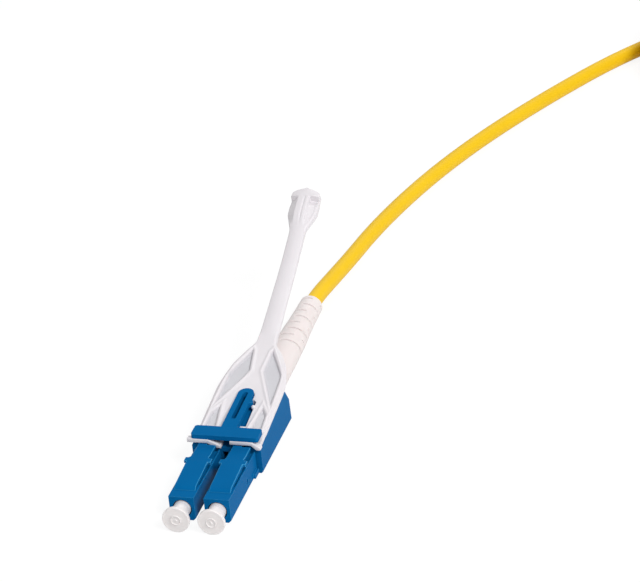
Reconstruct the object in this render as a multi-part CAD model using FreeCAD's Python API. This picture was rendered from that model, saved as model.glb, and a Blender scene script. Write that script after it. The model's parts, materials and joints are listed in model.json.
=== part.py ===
"""Duplex fibre plug with a push-pull release tab, on a 3 mm cable tail.

All sizes are in millimetres. While the pieces are built, +X is to the right seen from the
mating end, +Y runs from the mating face to the cable, +Z is up, y = 0 is the front face of the
two plugs and z = 0 is their axis. At the end every piece is moved so that the origin is the
bottom centre of the connector's own box, without its cable.
"""
import FreeCAD, Part
import math
import os
from FreeCAD import Vector

# ---------------------------------------------------------------- plugs
PLUG_PITCH = 6.25        # between the two ferrule axes
PLUG_WIDTH = 4.5
PLUG_HEIGHT = 4.5
PLUG_LENGTH = 15.6
PLUG_CHAMFER = 0.45      # long lower edges
FRONT_BORE_R = 1.7       # room for the adapter's sleeve
FRONT_BORE_DEPTH = 5.2
PARTITION = 0.8          # wall that the ferrule flange seats on
REAR_BORE_R = 1.6
LUG_LENGTH = 2.2         # catch low on the outer side
LUG_HEIGHT = 0.8
LUG_PROUD = 0.4
NOTCH_START = 10.0       # shallow window in the outer side
NOTCH_LENGTH = 0.6
NOTCH_HEIGHT = 1.1
NOTCH_DROP = 0.45        # its middle, below the plug axis
NOTCH_DEPTH = 0.3

# ---------------------------------------------------------------- ferrules and springs
FERRULE_R = 0.625
FERRULE_OUT = 1.9        # ahead of the plug face
FERRULE_SEAT = 1.0       # pressed into the flange
FERRULE_GAP = 0.2        # radial, in the partition
FLANGE_R = 1.5
FLANGE_THICK = 1.2
FLANGE_TAIL_R = 0.95
FLANGE_TAIL = 3.2
FLANGE_BORE_R = 0.5
SPRING_WIRE_R = 0.16
SPRING_SIDES = 8         # of the wire's section
SPRING_R = 1.27
SPRING_TURNS = 5
SPRING_SEAT_GAP = 0.02
SPRING_ROOM = 4.4        # between the flange and the stop

# ---------------------------------------------------------------- spring stops
STOP_R = 1.5
STOP_COLLAR_R = 1.75
STOP_NECK_R = 1.3
STOP_RING_R = 1.6
STOP_RING = 0.9
STOP_TAIL = 1.2
STOP_BORE_R = 0.55

# ---------------------------------------------------------------- latches
LATCH_HALF = 1.9
LATCH_TAIL_HALF = 1.6
LATCH_NOSE = 2.1         # start of the arm behind the plug face
LATCH_PIVOT = 2.75
LATCH_LIFT = 0.02        # under the nose
LATCH_FRONT_TOP = 0.62   # heights above the plug's top
LATCH_EAR_TOP = 1.12
LATCH_TAIL_TOP = 0.95
LATCH_THICK = 0.55
LATCH_EAR_START = 9.7
LATCH_EAR = 1.2
LATCH_EAR_OUT = 0.5
LATCH_EAR_LIFT = 0.57    # underside of the ears, above the plug's top
LATCH_STEP_GAP = 0.1     # from the step to its tongue to the plug's end
TONGUE = 2.4             # length behind the step
TONGUE_LEFT = -1.6       # from the plug's axis
TONGUE_RIGHT = -0.1
CHANNEL_FLOOR = 0.4      # depth of the trough under the arm
CHANNEL_START = 4.2
CHANNEL_SIDE = 0.12

# ---------------------------------------------------------------- dust caps
CAP_OUT = 3.77           # its face, ahead of the plug face
CAP_FLANGE_R = 2.4
CAP_FLANGE = 0.75
CAP_STEM_R = 1.5
CAP_IN = 2.2             # stem inside the plug
CAP_RING_R = 0.95
CAP_RING = 0.22
CAP_RING_PROUD = 0.12
CAP_BORE_R = 0.95        # round the ferrule
CAP_END_GAP = 0.2        # ahead of the ferrule's tip

# ---------------------------------------------------------------- housing
HOUSING_WIDTH = 12.4
HOUSING_GAP = 0.7        # behind the plugs
HOUSING_LENGTH = 18.0
HOUSING_DROP = 2.42      # bottom, below the plug axis
HOUSING_FRONT_TOP = 2.35
HOUSING_SLOPE = 0.137    # rise of the top per millimetre
REAR_SHOULDER = 2.1      # rear chamfer, along Y
REAR_SHOULDER_DROP = 2.6
WALL = 0.9
FLOOR_WALL = 0.8
FRONT_WALL = 1.2
REAR_WALL = 1.0
COVER_THICK = 0.8
COVER_SETBACK = 3.1      # the tongues' pockets lie ahead of it
COVER_LEDGE = 0.4
COVER_SKIRT = 1.1
FIT_GAP = 0.05
POCKET_FLOOR = 1.74      # above the plug axis
POCKET_SIDE = 0.25       # beside the latch tongue
POCKET_END_WALL = 0.8    # between the pockets and the cover
SLOT_WIDTH = 1.5         # in the front wall, between the plugs
SLOT_HEIGHT = 3.0
EDGE_CHAMFER = 0.3

# ---------------------------------------------------------------- cable anchor and boot
CABLE_R = 1.5
CABLE_LIFT = 0.2         # cable axis above the plug axis
FIBRE_R = 0.45
CORE_BORE_R = 1.1
CORE_R = 1.6
CORE_FLANGE_R = 1.8
CORE_FLANGE = 0.7
CORE_TAIL = 5.6          # behind the housing
SLEEVE_GAP = 0.12        # yarn under the crimp sleeve
SLEEVE_WALL = 0.24
SLEEVE_START = 0.7       # behind the housing
SLEEVE_WIDE = 6.2
SLEEVE_NARROW = 3.4
JACKET_START = 7.0       # behind the housing
JACKET_BORE = 3.0
BOOT_START = 0.1         # behind the housing
BOOT_LENGTH = 36.1
BOOT_WALL_GAP = 0.05
BOOT_BASE_A = 3.05       # half width of the base
BOOT_BASE_B = 2.5        # half height of the base
BOOT_TIP_R = 2.15
BOOT_RIM = 0.35
GROOVE_RUN = 17.4        # from the first groove to the boot's end
GROOVE_STEP = 2.28
GROOVE_COUNT = 8
GROOVE = 0.4
GROOVE_DEPTH = 0.28
GROOVE_SPINE = 0.9       # half width of the uncut bands between a groove's two arcs
GROOVE_TURN = 45         # tilt of the uncut bands, to one side and the other in turn

# ---------------------------------------------------------------- trigger clip
BAR_HALF = 6.05
BAR_CORNER = 0.5
BAR_SETBACK = 0.1        # behind the plugs' ends
BAR_DEPTH = 3.15
BAR_BOTTOM = 4.08
BAR_THICK = 0.85
STEM_HALF = 1.4
STEM_LENGTH = 11.95      # behind the bar
STEM_RISE = 0.06         # per millimetre
STEM_THICK = 1.0
SLOT_HALF = 0.42
SLOT_SETBACK = 2.55      # behind the bar
SLOT_LENGTH = 8.2
BARB_SETBACK = 7.35      # behind the bar, on the right side
BARB = 2.6
BARB_OUT = 0.55

# ---------------------------------------------------------------- pull tab
TAB_GAP = 0.05           # above the housing
TAB_THICK = 0.8
TAB_SHOULDER = 0.8
TAB_SETBACK = 0.65       # from the bar to the web's front edge
WEB_LENGTH = 15.0
RAMP_LENGTH = 8.7
RAMP_RISE = 2.56         # the knee above the web's rear top
STRIP_SLOPE = 0.395
STRIP_HALF = 1.72
STRIP_END_HALF = 1.5
STRIP_LENGTH = 24.3
STRIP_THICK = 1.1
LIP_THICK = 0.75
LIP_DEPTH = 1.35
LIP_REACH = 6.8          # outer ends of the feet
LEFT_RAIL = -0.75        # right side of the middle rail
RAIL = 0.7
RECESS = 0.5
WINDOW_GAP = 0.1
WINDOW_SETBACK = 1.5     # behind the web's front edge
WINDOW_LEFT = 0.35       # beside the stem
WINDOW_RIGHT = 0.9
GRIP_LENGTH = 9.7
GRIP_HALF = 2.85
GRIP_TOP = 1.25          # above the strip's mid-plane
GRIP_UNDER = 0.7         # below it
GRIP_RIB = 0.75          # half width of the middle rib
GRIP_SLOPE = 1.35        # drop of each side facet
GRIP_HEAD = 2.3          # full-height end above the facets
GRIP_FLARE = 3.6         # run over which the strip thickens
GRIP_GROOVE = 0.13       # half width of the rib's groove
GRIP_GROOVE_DEPTH = 0.3

# ---------------------------------------------------------------- cable tail
# Points of the loose cable, counted from the boot's end: right, back, height above the floor.
CABLE_ROUTE = [
    (0.0, 0.0, None), (0.0, 4.9, None), (0.5, 10.5, 1.75), (1.65, 20.0, 1.5),
    (3.5, 31.5, 1.5), (6.2, 44.0, 1.5), (9.9, 57.0, 1.5), (14.5, 69.7, 1.5),
    (20.1, 82.5, 1.5), (26.6, 95.5, 1.5), (33.9, 108.8, 1.5), (42.2, 120.4, 1.5),
    (48.6, 126.8, 1.5),
]
COIL_COLUMNS = 3
COIL_ROWS = 3
COIL_PITCH = 3.1
COIL_INNER_R = 12.9      # axis of the innermost turn
TIE_WIDTH = 4.0
TIE_THICK = 0.5
TIE_ANGLE = 60.0
TIE_ROOM = 0.3           # between the turns and the strap
# The jacket's end leaves the top inner turn towards the connector, crosses the outer turns and
# comes down to the floor: distances from where it leaves.
END_CLIMB = 9.0
END_LEVEL = 19.0
END_DOWN = 36.0
END_FLAT = 46.0
STRIPPED = 15.0          # bare length of the two fibres
FIBRE_SPLAY = 9.0        # degrees between a bare fibre and the jacket
YARN = 4.0
YARN_R = 1.1

# ---------------------------------------------------------------- places worked out from the above
AXES = {"left": -PLUG_PITCH / 2, "right": PLUG_PITCH / 2}
PLUG_TOP = PLUG_HEIGHT / 2
HALF = HOUSING_WIDTH / 2
HOUSING_FRONT = PLUG_LENGTH + HOUSING_GAP
HOUSING_REAR = HOUSING_FRONT + HOUSING_LENGTH
COVER_START = HOUSING_FRONT + COVER_SETBACK
LATCH_STEP = PLUG_LENGTH - LATCH_STEP_GAP
LATCH_END = LATCH_STEP + TONGUE
BAR_FRONT = PLUG_LENGTH + BAR_SETBACK
BAR_BACK = BAR_FRONT + BAR_DEPTH
STEM_END = BAR_BACK + STEM_LENGTH
BARB_START = BAR_BACK + BARB_SETBACK
TAB_START = BAR_BACK + TAB_SETBACK
RAMP_START = TAB_START + WEB_LENGTH
RAMP_KNEE = RAMP_START + RAMP_LENGTH
STRIP_END = RAMP_KNEE + STRIP_LENGTH
BOOT_END = HOUSING_REAR + BOOT_START + BOOT_LENGTH
FLANGE_Y = FRONT_BORE_DEPTH + PARTITION
FLANGE_BACK = FLANGE_Y + FLANGE_THICK
STOP_Y = FLANGE_BACK + SPRING_ROOM
FLOOR_Z = -HOUSING_DROP
EXIT_Z = CABLE_LIFT
COIL_OUTER_R = COIL_INNER_R + (COIL_COLUMNS - 1) * COIL_PITCH
COIL_HEIGHT = 2 * CABLE_R + (COIL_ROWS - 1) * COIL_PITCH


def housing_top(y):
    """Height of the housing's sloping top at a distance behind the plug face."""
    return HOUSING_FRONT_TOP + HOUSING_SLOPE * (y - HOUSING_FRONT)


WEB_REAR_TOP = housing_top(RAMP_START) + TAB_GAP + TAB_THICK
KNEE_TOP = WEB_REAR_TOP + RAMP_RISE
STRIP_TOP = KNEE_TOP + STRIP_SLOPE * STRIP_LENGTH


# ---------------------------------------------------------------- small shapes
def box(x0, x1, y0, y1, z0, z1):
    return Part.makeBox(x1 - x0, y1 - y0, z1 - z0, Vector(x0, y0, z0))


def rod(radius, y0, y1, x=0.0, z=0.0):
    return Part.makeCylinder(radius, y1 - y0, Vector(x, y0, z), Vector(0, 1, 0))


def tube(outer, inner, y0, y1, x=0.0, z=0.0):
    return rod(outer, y0, y1, x, z).cut(rod(inner, y0, y1, x, z))


def polygon(points):
    return Part.Face(Part.makePolygon(points + [points[0]]))


def side_prism(points, x0, x1):
    """Outline in Y and Z, extruded along X."""
    return polygon([Vector(x0, y, z) for y, z in points]).extrude(Vector(x1 - x0, 0, 0))


def plan_prism(points, z0, z1):
    """Outline in X and Y, extruded along Z."""
    return polygon([Vector(x, y, z0) for x, y in points]).extrude(Vector(0, 0, z1 - z0))


def front_prism(points, y0, y1):
    """Outline in X and Z, extruded along Y."""
    return polygon([Vector(x, y0, z) for x, z in points]).extrude(Vector(0, y1 - y0, 0))


def mirrored(points):
    """Right half of a plan outline, from front to back, closed over its mirror image."""
    return points + [(-x, y) for x, y in reversed(points)]


def join(first, *others):
    """One solid out of touching ones, with its split faces merged."""
    return first.fuse(list(others)).removeSplitter()


def rounded_path(points):
    """Straight runs joined by tangent arcs as large as the runs allow, and the arcs' radii."""
    edges, radii, start = [], [], points[0]
    for before, corner, after in zip(points, points[1:], points[2:]):
        back, ahead = before - corner, after - corner
        shorter = min(back.Length, ahead.Length)
        turn = math.pi - back.getAngle(ahead)
        back.normalize()
        ahead.normalize()
        reach = 0.45 * shorter
        radii.append(reach / math.tan(turn / 2))
        enter, leave = corner + back * reach, corner + ahead * reach
        bisector = (back + ahead).normalize()
        centre = corner + bisector * (radii[-1] / math.cos(turn / 2))
        middle = centre - bisector * radii[-1]
        edges += [Part.LineSegment(start, enter).toShape(), Part.Arc(enter, middle, leave).toShape()]
        start = leave
    edges.append(Part.LineSegment(start, points[-1]).toShape())
    return Part.Wire(edges), radii


def sweep(points, radius):
    """Round bar along a rounded path."""
    path, radii = rounded_path(points)
    heading = points[1] - points[0]
    circle = Part.Wire(Part.makeCircle(radius, points[0], heading))
    solid = path.makePipeShell([circle], True, False)
    return solid, path.Length, radii


# ---------------------------------------------------------------- plugs
def plug_body(side):
    """Square moulding with the sleeve bore in front and the spring bore behind."""
    outward = 1 if side == "right" else -1
    half, low, top = PLUG_WIDTH / 2, -PLUG_HEIGHT / 2, PLUG_TOP
    outline = [(-half + PLUG_CHAMFER, low), (half - PLUG_CHAMFER, low), (half, low + PLUG_CHAMFER),
               (half, top), (-half, top), (-half, low + PLUG_CHAMFER)]
    body = front_prism(outline, 0, PLUG_LENGTH)
    outer = sorted((outward * (half - NOTCH_DEPTH), outward * (half + LUG_PROUD)))
    lug = box(*outer, PLUG_LENGTH - LUG_LENGTH, PLUG_LENGTH - FIT_GAP,
              low + PLUG_CHAMFER, low + PLUG_CHAMFER + LUG_HEIGHT)
    body = join(body, lug)
    notch = box(*sorted((outward * (half - NOTCH_DEPTH), outward * (half + 1))),
                NOTCH_START, NOTCH_START + NOTCH_LENGTH,
                -NOTCH_DROP - NOTCH_HEIGHT / 2, -NOTCH_DROP + NOTCH_HEIGHT / 2)
    reach = LATCH_HALF + CHANNEL_SIDE
    channel = box(-reach, reach, CHANNEL_START, PLUG_LENGTH, top - CHANNEL_FLOOR, top)
    body = body.cut([notch, channel, rod(FRONT_BORE_R, 0, FRONT_BORE_DEPTH),
                     rod(FERRULE_R + FERRULE_GAP, 0, PLUG_LENGTH),
                     rod(REAR_BORE_R, FLANGE_Y, PLUG_LENGTH)])
    return body.translated(Vector(AXES[side], 0, 0))


def latch(side):
    """Spring arm on the plug's top: catch ears, tail, and a tongue that runs under the tab."""
    base = PLUG_TOP
    ear_end = LATCH_EAR_START + LATCH_EAR
    under, tail_top = base + LATCH_TAIL_TOP - LATCH_THICK, base + LATCH_TAIL_TOP
    outline = [
        (LATCH_NOSE, base + LATCH_LIFT), (LATCH_PIVOT, base + LATCH_LIFT),
        (LATCH_EAR_START, under), (LATCH_END, under), (LATCH_END, tail_top - 0.15),
        (LATCH_END - 0.3, tail_top), (ear_end + 1.0, tail_top),
        (ear_end + 0.4, base + LATCH_EAR_TOP), (LATCH_EAR_START, base + LATCH_EAR_TOP),
        (LATCH_NOSE + 0.85, base + LATCH_FRONT_TOP),
    ]
    tail = LATCH_TAIL_HALF
    plan = plan_prism([(-LATCH_HALF, LATCH_NOSE), (LATCH_HALF, LATCH_NOSE),
                       (LATCH_HALF, ear_end), (tail, ear_end + 0.3), (tail, LATCH_STEP),
                       (TONGUE_RIGHT, LATCH_STEP), (TONGUE_RIGHT, LATCH_END),
                       (TONGUE_LEFT, LATCH_END), (-tail, ear_end + 0.3),
                       (-LATCH_HALF, ear_end)], base, base + 2)
    arm = side_prism(outline, -LATCH_HALF, LATCH_HALF).common(plan)
    beside = LATCH_HALF + LATCH_EAR_OUT
    ears = box(-beside, beside, LATCH_EAR_START, ear_end, base + LATCH_EAR_LIFT,
               base + LATCH_EAR_TOP)
    return join(arm, ears).translated(Vector(AXES[side], 0, 0))


def ferrule(side):
    """Ceramic rod with a chamfered tip."""
    chamfer = FERRULE_R / 3
    body = rod(FERRULE_R, -FERRULE_OUT + chamfer, FLANGE_Y + FERRULE_SEAT)
    tip = Part.makeCone(FERRULE_R - chamfer, FERRULE_R, chamfer, Vector(0, -FERRULE_OUT, 0),
                        Vector(0, 1, 0))
    return join(body, tip).translated(Vector(AXES[side], 0, 0))


def ferrule_flange(side):
    """Metal collar and tail that carry the ferrule and guide the spring."""
    body = join(rod(FLANGE_R, FLANGE_Y, FLANGE_BACK),
                rod(FLANGE_TAIL_R, FLANGE_Y, FLANGE_BACK + FLANGE_TAIL))
    keys = [box(-FLANGE_R, FLANGE_R, FLANGE_Y - 1, FLANGE_BACK - 0.4, *span)
            for span in ((FLANGE_R * 0.87, FLANGE_R), (-FLANGE_R, -FLANGE_R * 0.87))]
    body = body.cut([rod(FERRULE_R, FLANGE_Y, FLANGE_Y + FERRULE_SEAT),
                     rod(FLANGE_BORE_R, FLANGE_Y, FLANGE_BACK + FLANGE_TAIL)] + keys)
    return body.translated(Vector(AXES[side], 0, 0))


def ferrule_spring(side):
    """Coil of eight-sided wire between the flange and the spring stop."""
    free = SPRING_ROOM - 2 * (SPRING_WIRE_R + SPRING_SEAT_GAP)
    pitch = free / SPRING_TURNS
    climb = Vector(0, 2 * math.pi * SPRING_R, pitch).normalize()
    out = Vector(1, 0, 0)
    across = out.cross(climb)
    corners = []
    for index in range(SPRING_SIDES + 1):
        angle = math.tau * (index + 0.5) / SPRING_SIDES
        corners.append(out * (SPRING_R + SPRING_WIRE_R * math.cos(angle))
                       + across * (SPRING_WIRE_R * math.sin(angle)))
    helix = Part.makeHelix(pitch, free, SPRING_R)
    coil = Part.Wire(helix.Edges).makePipeShell([Part.makePolygon(corners)], True, True)
    coil.rotate(Vector(0, 0, 0), Vector(1, 0, 0), -90)
    start = FLANGE_BACK + SPRING_WIRE_R + SPRING_SEAT_GAP
    return coil.translated(Vector(AXES[side], start, 0))


def spring_stop(side):
    """Turned tube that closes the plug and is held in the housing's front wall."""
    wall_back = HOUSING_FRONT + FRONT_WALL + FIT_GAP
    body = join(rod(STOP_R, STOP_Y, PLUG_LENGTH),
                rod(STOP_COLLAR_R, PLUG_LENGTH, HOUSING_FRONT),
                rod(STOP_NECK_R, HOUSING_FRONT, wall_back + STOP_RING + STOP_TAIL),
                rod(STOP_RING_R, wall_back, wall_back + STOP_RING))
    body = body.cut(rod(STOP_BORE_R, STOP_Y, wall_back + STOP_RING + STOP_TAIL))
    return body.translated(Vector(AXES[side], 0, 0))


def dust_cap(side):
    """Soft cap: a stem that grips the ferrule and a round flange with moulded rings."""
    face = -CAP_OUT
    stem = rod(CAP_STEM_R, face, CAP_IN)
    rim = rod(CAP_FLANGE_R, face, face + CAP_FLANGE)
    ring = tube(CAP_RING_R, CAP_RING_R - CAP_RING, face - CAP_RING_PROUD, face)
    dot = rod(CAP_RING, face - CAP_RING_PROUD, face)
    body = join(stem, rim, ring, dot)
    body = body.cut(rod(CAP_BORE_R, -FERRULE_OUT - CAP_END_GAP, CAP_IN))
    return body.translated(Vector(AXES[side], 0, 0))


# ---------------------------------------------------------------- housing
def housing_outline():
    """Side view of the housing: sloping top and a shouldered rear."""
    shoulder = HOUSING_REAR - REAR_SHOULDER
    return [(HOUSING_FRONT, FLOOR_Z), (HOUSING_REAR, FLOOR_Z),
            (HOUSING_REAR - 0.3, housing_top(shoulder) - REAR_SHOULDER_DROP),
            (shoulder, housing_top(shoulder)), (HOUSING_FRONT, housing_top(HOUSING_FRONT))]


def housing_base():
    """Open-topped shell with the plugs' front wall, the tongues' pockets and the cable hole."""
    shoulder = HOUSING_REAR - REAR_SHOULDER
    shell = side_prism(housing_outline(), -HALF, HALF)
    corner = EDGE_CHAMFER
    trims = [front_prism([(sign * HALF, FLOOR_Z), (sign * (HALF - corner), FLOOR_Z),
                          (sign * HALF, FLOOR_Z + corner)], HOUSING_FRONT, HOUSING_REAR)
             for sign in (1, -1)]
    inner = HALF - WALL
    front, rear = HOUSING_FRONT + FRONT_WALL, HOUSING_REAR - REAR_WALL
    lid_end = shoulder - REAR_WALL
    room = side_prism([(front, FLOOR_Z + FLOOR_WALL), (rear, FLOOR_Z + FLOOR_WALL),
                       (rear, 2.05), (lid_end, housing_top(lid_end) - COVER_THICK),
                       (front, housing_top(front) - COVER_THICK)],
                      -inner + COVER_LEDGE, inner - COVER_LEDGE)
    lid = side_prism([(COVER_START, housing_top(COVER_START) - COVER_THICK),
                      (lid_end, housing_top(lid_end) - COVER_THICK),
                      (lid_end, 9), (COVER_START, 9)], -inner, inner)
    slot = box(-SLOT_WIDTH / 2, SLOT_WIDTH / 2, HOUSING_FRONT - 1, front + 0.01,
               -SLOT_HEIGHT / 2, SLOT_HEIGHT / 2)
    cuts = trims + [room, lid, slot, rod(CORE_R + 0.03, rear - 1, HOUSING_REAR + 1, 0, EXIT_Z)]
    for axis in AXES.values():
        left, right = axis + TONGUE_LEFT - POCKET_SIDE, axis + TONGUE_RIGHT + POCKET_SIDE
        cuts.append(rod(STOP_NECK_R + FIT_GAP, HOUSING_FRONT - 1, front + 1, axis))
        cuts.append(box(left, right, HOUSING_FRONT - 1, front, POCKET_FLOOR, 9))
        cuts.append(box(left, right, front - 0.01, COVER_START - POCKET_END_WALL, 1, 9))
    return shell.cut(cuts)


def housing_cover():
    """Lid let into the shell's top, with a rib that holds the spring stops down."""
    shoulder = HOUSING_REAR - REAR_SHOULDER
    y0, y1 = COVER_START + FIT_GAP, shoulder - REAR_WALL - FIT_GAP
    half = HALF - WALL - FIT_GAP
    plate = side_prism([(y0, housing_top(y0) - COVER_THICK), (y1, housing_top(y1) - COVER_THICK),
                        (y1, housing_top(y1)), (y0, housing_top(y0))], -half, half)
    inner = half - COVER_LEDGE - FIT_GAP
    skirts = [side_prism([(y0 + 1, housing_top(y0 + 1) - COVER_THICK - COVER_SKIRT),
                          (y1 - 1, housing_top(y1 - 1) - COVER_THICK - COVER_SKIRT),
                          (y1 - 1, housing_top(y1 - 1) - COVER_THICK),
                          (y0 + 1, housing_top(y0 + 1) - COVER_THICK)], *span)
              for span in ((inner - 0.8, inner), (-inner, -inner + 0.8))]
    return join(plate, *skirts)


# ---------------------------------------------------------------- cable anchor and boot
def crimp_core():
    """Metal tube flanged inside the housing, on which the cable's yarn is crimped."""
    inside = HOUSING_REAR - REAR_WALL
    body = join(rod(CORE_FLANGE_R, inside - CORE_FLANGE, inside, 0, EXIT_Z),
                rod(CORE_R, inside - CORE_FLANGE, HOUSING_REAR + CORE_TAIL, 0, EXIT_Z))
    rings = [tube(CORE_R + 1, CORE_R - 0.1, y, y + 0.25, 0, EXIT_Z)
             for y in (HOUSING_REAR + 1.2 + 0.7 * step for step in range(5))]
    bore = rod(CORE_BORE_R, inside - CORE_FLANGE, HOUSING_REAR + CORE_TAIL, 0, EXIT_Z)
    return body.cut([bore] + rings)


def crimp_sleeve():
    """Two-step sleeve over the core and the cable's jacket."""
    inner = CORE_R + SLEEVE_GAP
    start = HOUSING_REAR + SLEEVE_START
    middle = start + SLEEVE_WIDE
    end = middle + SLEEVE_NARROW
    outer = join(rod(inner + SLEEVE_WALL, start, middle, 0, EXIT_Z),
                 rod(CABLE_R + FIT_GAP + SLEEVE_WALL, middle, end, 0, EXIT_Z))
    return outer.cut([rod(inner, start, middle - 0.3, 0, EXIT_Z),
                      rod(CABLE_R + FIT_GAP, start, end, 0, EXIT_Z)])


def boot_section(y, half_width, half_height):
    """Oval outline of the boot at a distance behind the plug face."""
    circle = Part.makeCircle(1.0, Vector(0, 0, 0), Vector(0, 1, 0))
    scale = FreeCAD.Matrix()
    scale.scale(half_width, 1, half_height)
    oval = circle.transformGeometry(scale)
    return Part.Wire(oval.translated(Vector(0, y, EXIT_Z)).Edges)


def strain_boot():
    """Tapered bend relief: plain oval base, ringed round tail, collar at the cable end."""
    start = HOUSING_REAR + BOOT_START
    span = BOOT_END - start
    a, b, tip = BOOT_BASE_A, BOOT_BASE_B, BOOT_TIP_R
    sections = [(start, a, b), (start + 0.23 * span, a, b), (start + 0.41 * span, a - 0.12, b),
                (start + 0.60 * span, a - 0.28, b - 0.08),
                (start + 0.82 * span, tip + 0.14, tip + 0.12), (BOOT_END - BOOT_RIM, tip, tip),
                (BOOT_END, tip - BOOT_RIM, tip - BOOT_RIM)]
    skin = Part.makeLoft([boot_section(*section) for section in sections], True, True)
    grooves = []
    for index in range(GROOVE_COUNT):
        y = BOOT_END - GROOVE_RUN + index * GROOVE_STEP
        share = (y - start) / span
        half_a = a - 0.12 + (tip - a + 0.12) * max(0.0, (share - 0.41) / 0.59)
        half_b = b + (tip - b) * max(0.0, (share - 0.41) / 0.59)
        keep = Part.Face(boot_section(y, half_a - GROOVE_DEPTH, half_b - GROOVE_DEPTH))
        ring = Part.Face(boot_section(y, a + 1, b + 1)).cut(keep).extrude(Vector(0, GROOVE, 0))
        spine = box(-9, 9, y - 1, y + 2, EXIT_Z - GROOVE_SPINE, EXIT_Z + GROOVE_SPINE)
        turn = -GROOVE_TURN if index % 2 else GROOVE_TURN
        spine.rotate(Vector(0, 0, EXIT_Z), Vector(0, 1, 0), turn)
        grooves.append(ring.cut(spine))
    wide = CORE_R + SLEEVE_GAP + SLEEVE_WALL + BOOT_WALL_GAP
    sleeve_end = HOUSING_REAR + SLEEVE_START + SLEEVE_WIDE + SLEEVE_NARROW + 0.1
    bores = [rod(wide, start - 1, sleeve_end, 0, EXIT_Z),
             rod(CABLE_R + BOOT_WALL_GAP, start, BOOT_END + 1, 0, EXIT_Z)]
    return skin.cut(grooves + bores)


def cable_in_boot():
    """The cable's first stretch, held in the sleeve and the boot."""
    start = HOUSING_REAR + JACKET_START
    stretch = rod(CABLE_R, start, BOOT_END, 0, EXIT_Z)
    return stretch.cut(rod(CORE_BORE_R, start, start + JACKET_BORE, 0, EXIT_Z))


def fibre(side):
    """Buffered fibre from the spring stop to the cable's jacket."""
    x, near = AXES[side], math.copysign(FIBRE_R + 0.02, AXES[side])
    start, end = STOP_Y + 0.3, HOUSING_REAR + JACKET_START + JACKET_BORE
    points = [Vector(x, start, 0), Vector(x, HOUSING_FRONT + 5.0, 0),
              Vector(near, HOUSING_REAR - 3.2, EXIT_Z), Vector(near, end, EXIT_Z)]
    return sweep(points, FIBRE_R)[0]


# ---------------------------------------------------------------- trigger clip
def trigger_clip():
    """Bar across both latches, on a slotted and barbed snap stem that lies in the tab."""
    top = BAR_BOTTOM + BAR_THICK
    bar = box(-BAR_HALF, BAR_HALF, BAR_FRONT, BAR_BACK, BAR_BOTTOM, top)
    upright = [edge for edge in bar.Edges if abs(edge.tangentAt(0).z) > 0.9]
    bar = bar.makeFillet(BAR_CORNER, upright)
    centre = STEM_END - STEM_HALF
    rise = STEM_RISE * STEM_LENGTH
    root = BAR_BACK - 0.5
    slab = side_prism([(root, top - STEM_THICK), (root, top), (BAR_BACK, top),
                       (STEM_END, top + rise), (STEM_END, top + rise - STEM_THICK),
                       (BAR_BACK, top - STEM_THICK)], -PLUG_PITCH, PLUG_PITCH)
    flank, tooth = STEM_HALF - 0.2, STEM_HALF + BARB_OUT
    plan = join(box(-STEM_HALF, STEM_HALF, root, centre, 0, 9),
                Part.makeCylinder(STEM_HALF, 9, Vector(0, centre, 0)),
                plan_prism([(flank, BARB_START), (tooth, BARB_START + 0.35),
                            (tooth, BARB_START + 0.9), (flank, BARB_START + BARB)], 0, 9))
    near = BAR_BACK + SLOT_SETBACK + SLOT_HALF
    far = near + SLOT_LENGTH - 2 * SLOT_HALF
    slot = join(box(-SLOT_HALF, SLOT_HALF, near, far, 0, 9),
                Part.makeCylinder(SLOT_HALF, 9, Vector(0, near, 0)),
                Part.makeCylinder(SLOT_HALF, 9, Vector(0, far, 0)))
    return join(bar, slab.common(plan).cut(slot))


# ---------------------------------------------------------------- pull tab
def tab_side(lift):
    """The tab's upper side line, raised by a lift, and its lower one: web, ramp, rising strip."""
    front, rear = housing_top(TAB_START) + TAB_GAP, housing_top(RAMP_START) + TAB_GAP
    upper = [(TAB_START, front + TAB_THICK + lift), (RAMP_START, WEB_REAR_TOP + lift),
             (RAMP_KNEE, KNEE_TOP + lift), (STRIP_END, STRIP_TOP + lift)]
    lower = [(STRIP_END, STRIP_TOP - STRIP_THICK), (RAMP_KNEE, KNEE_TOP - STRIP_THICK),
             (RAMP_START + 0.3, rear), (TAB_START, front)]
    return upper, lower


def tab_plan(inset):
    """Plan outline of the tab behind the bar, drawn in by a distance at its edges."""
    return mirrored([
        (HALF - inset, TAB_START), (HALF - inset, RAMP_START - 2.3),
        (HALF - 1.1 - inset, RAMP_START + 2.9), (HALF - 2.7 - inset, RAMP_START + 6.0),
        (STRIP_HALF, RAMP_KNEE), (STRIP_END_HALF, STRIP_END)])


def tab_recesses():
    """Plan outlines of the thin webs on one side: a long kite and a small triangle."""
    kite = [(HALF - 1.0, RAMP_START - 8.0), (HALF - 1.75, RAMP_START + 1.9),
            (STRIP_HALF + 0.23, RAMP_KNEE - 2.2), (STRIP_HALF + 0.03, RAMP_START + 1.7)]
    triangle = [(HALF - 1.0, TAB_START + 1.1), (HALF - 1.2, TAB_START + 5.1),
                (HALF - 2.4, TAB_START + 7.1), (HALF - 3.1, TAB_START + 1.1)]
    return [kite, triangle]


def lips():
    """The tab's two front feet, each a flat lip that bends down to a rail at its right end."""
    top, low = BAR_BOTTOM, BAR_BOTTOM - LIP_THICK
    end = PLUG_LENGTH + LIP_DEPTH
    foot = housing_top(end) + TAB_GAP
    left_foot = [(-LIP_REACH, top), (-2.95, top), (LEFT_RAIL, foot + 0.5), (LEFT_RAIL, foot),
                 (LEFT_RAIL - RAIL, foot), (-3.2, low), (-LIP_REACH, low)]
    right_foot = [(0.9, top), (5.15, top), (6.55, foot + 0.6), (LIP_REACH, foot + 0.4),
                  (LIP_REACH, foot), (HALF - RAIL, foot), (4.95, low), (0.9, low)]
    return [front_prism(outline, PLUG_LENGTH, end) for outline in (left_foot, right_foot)]


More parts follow.
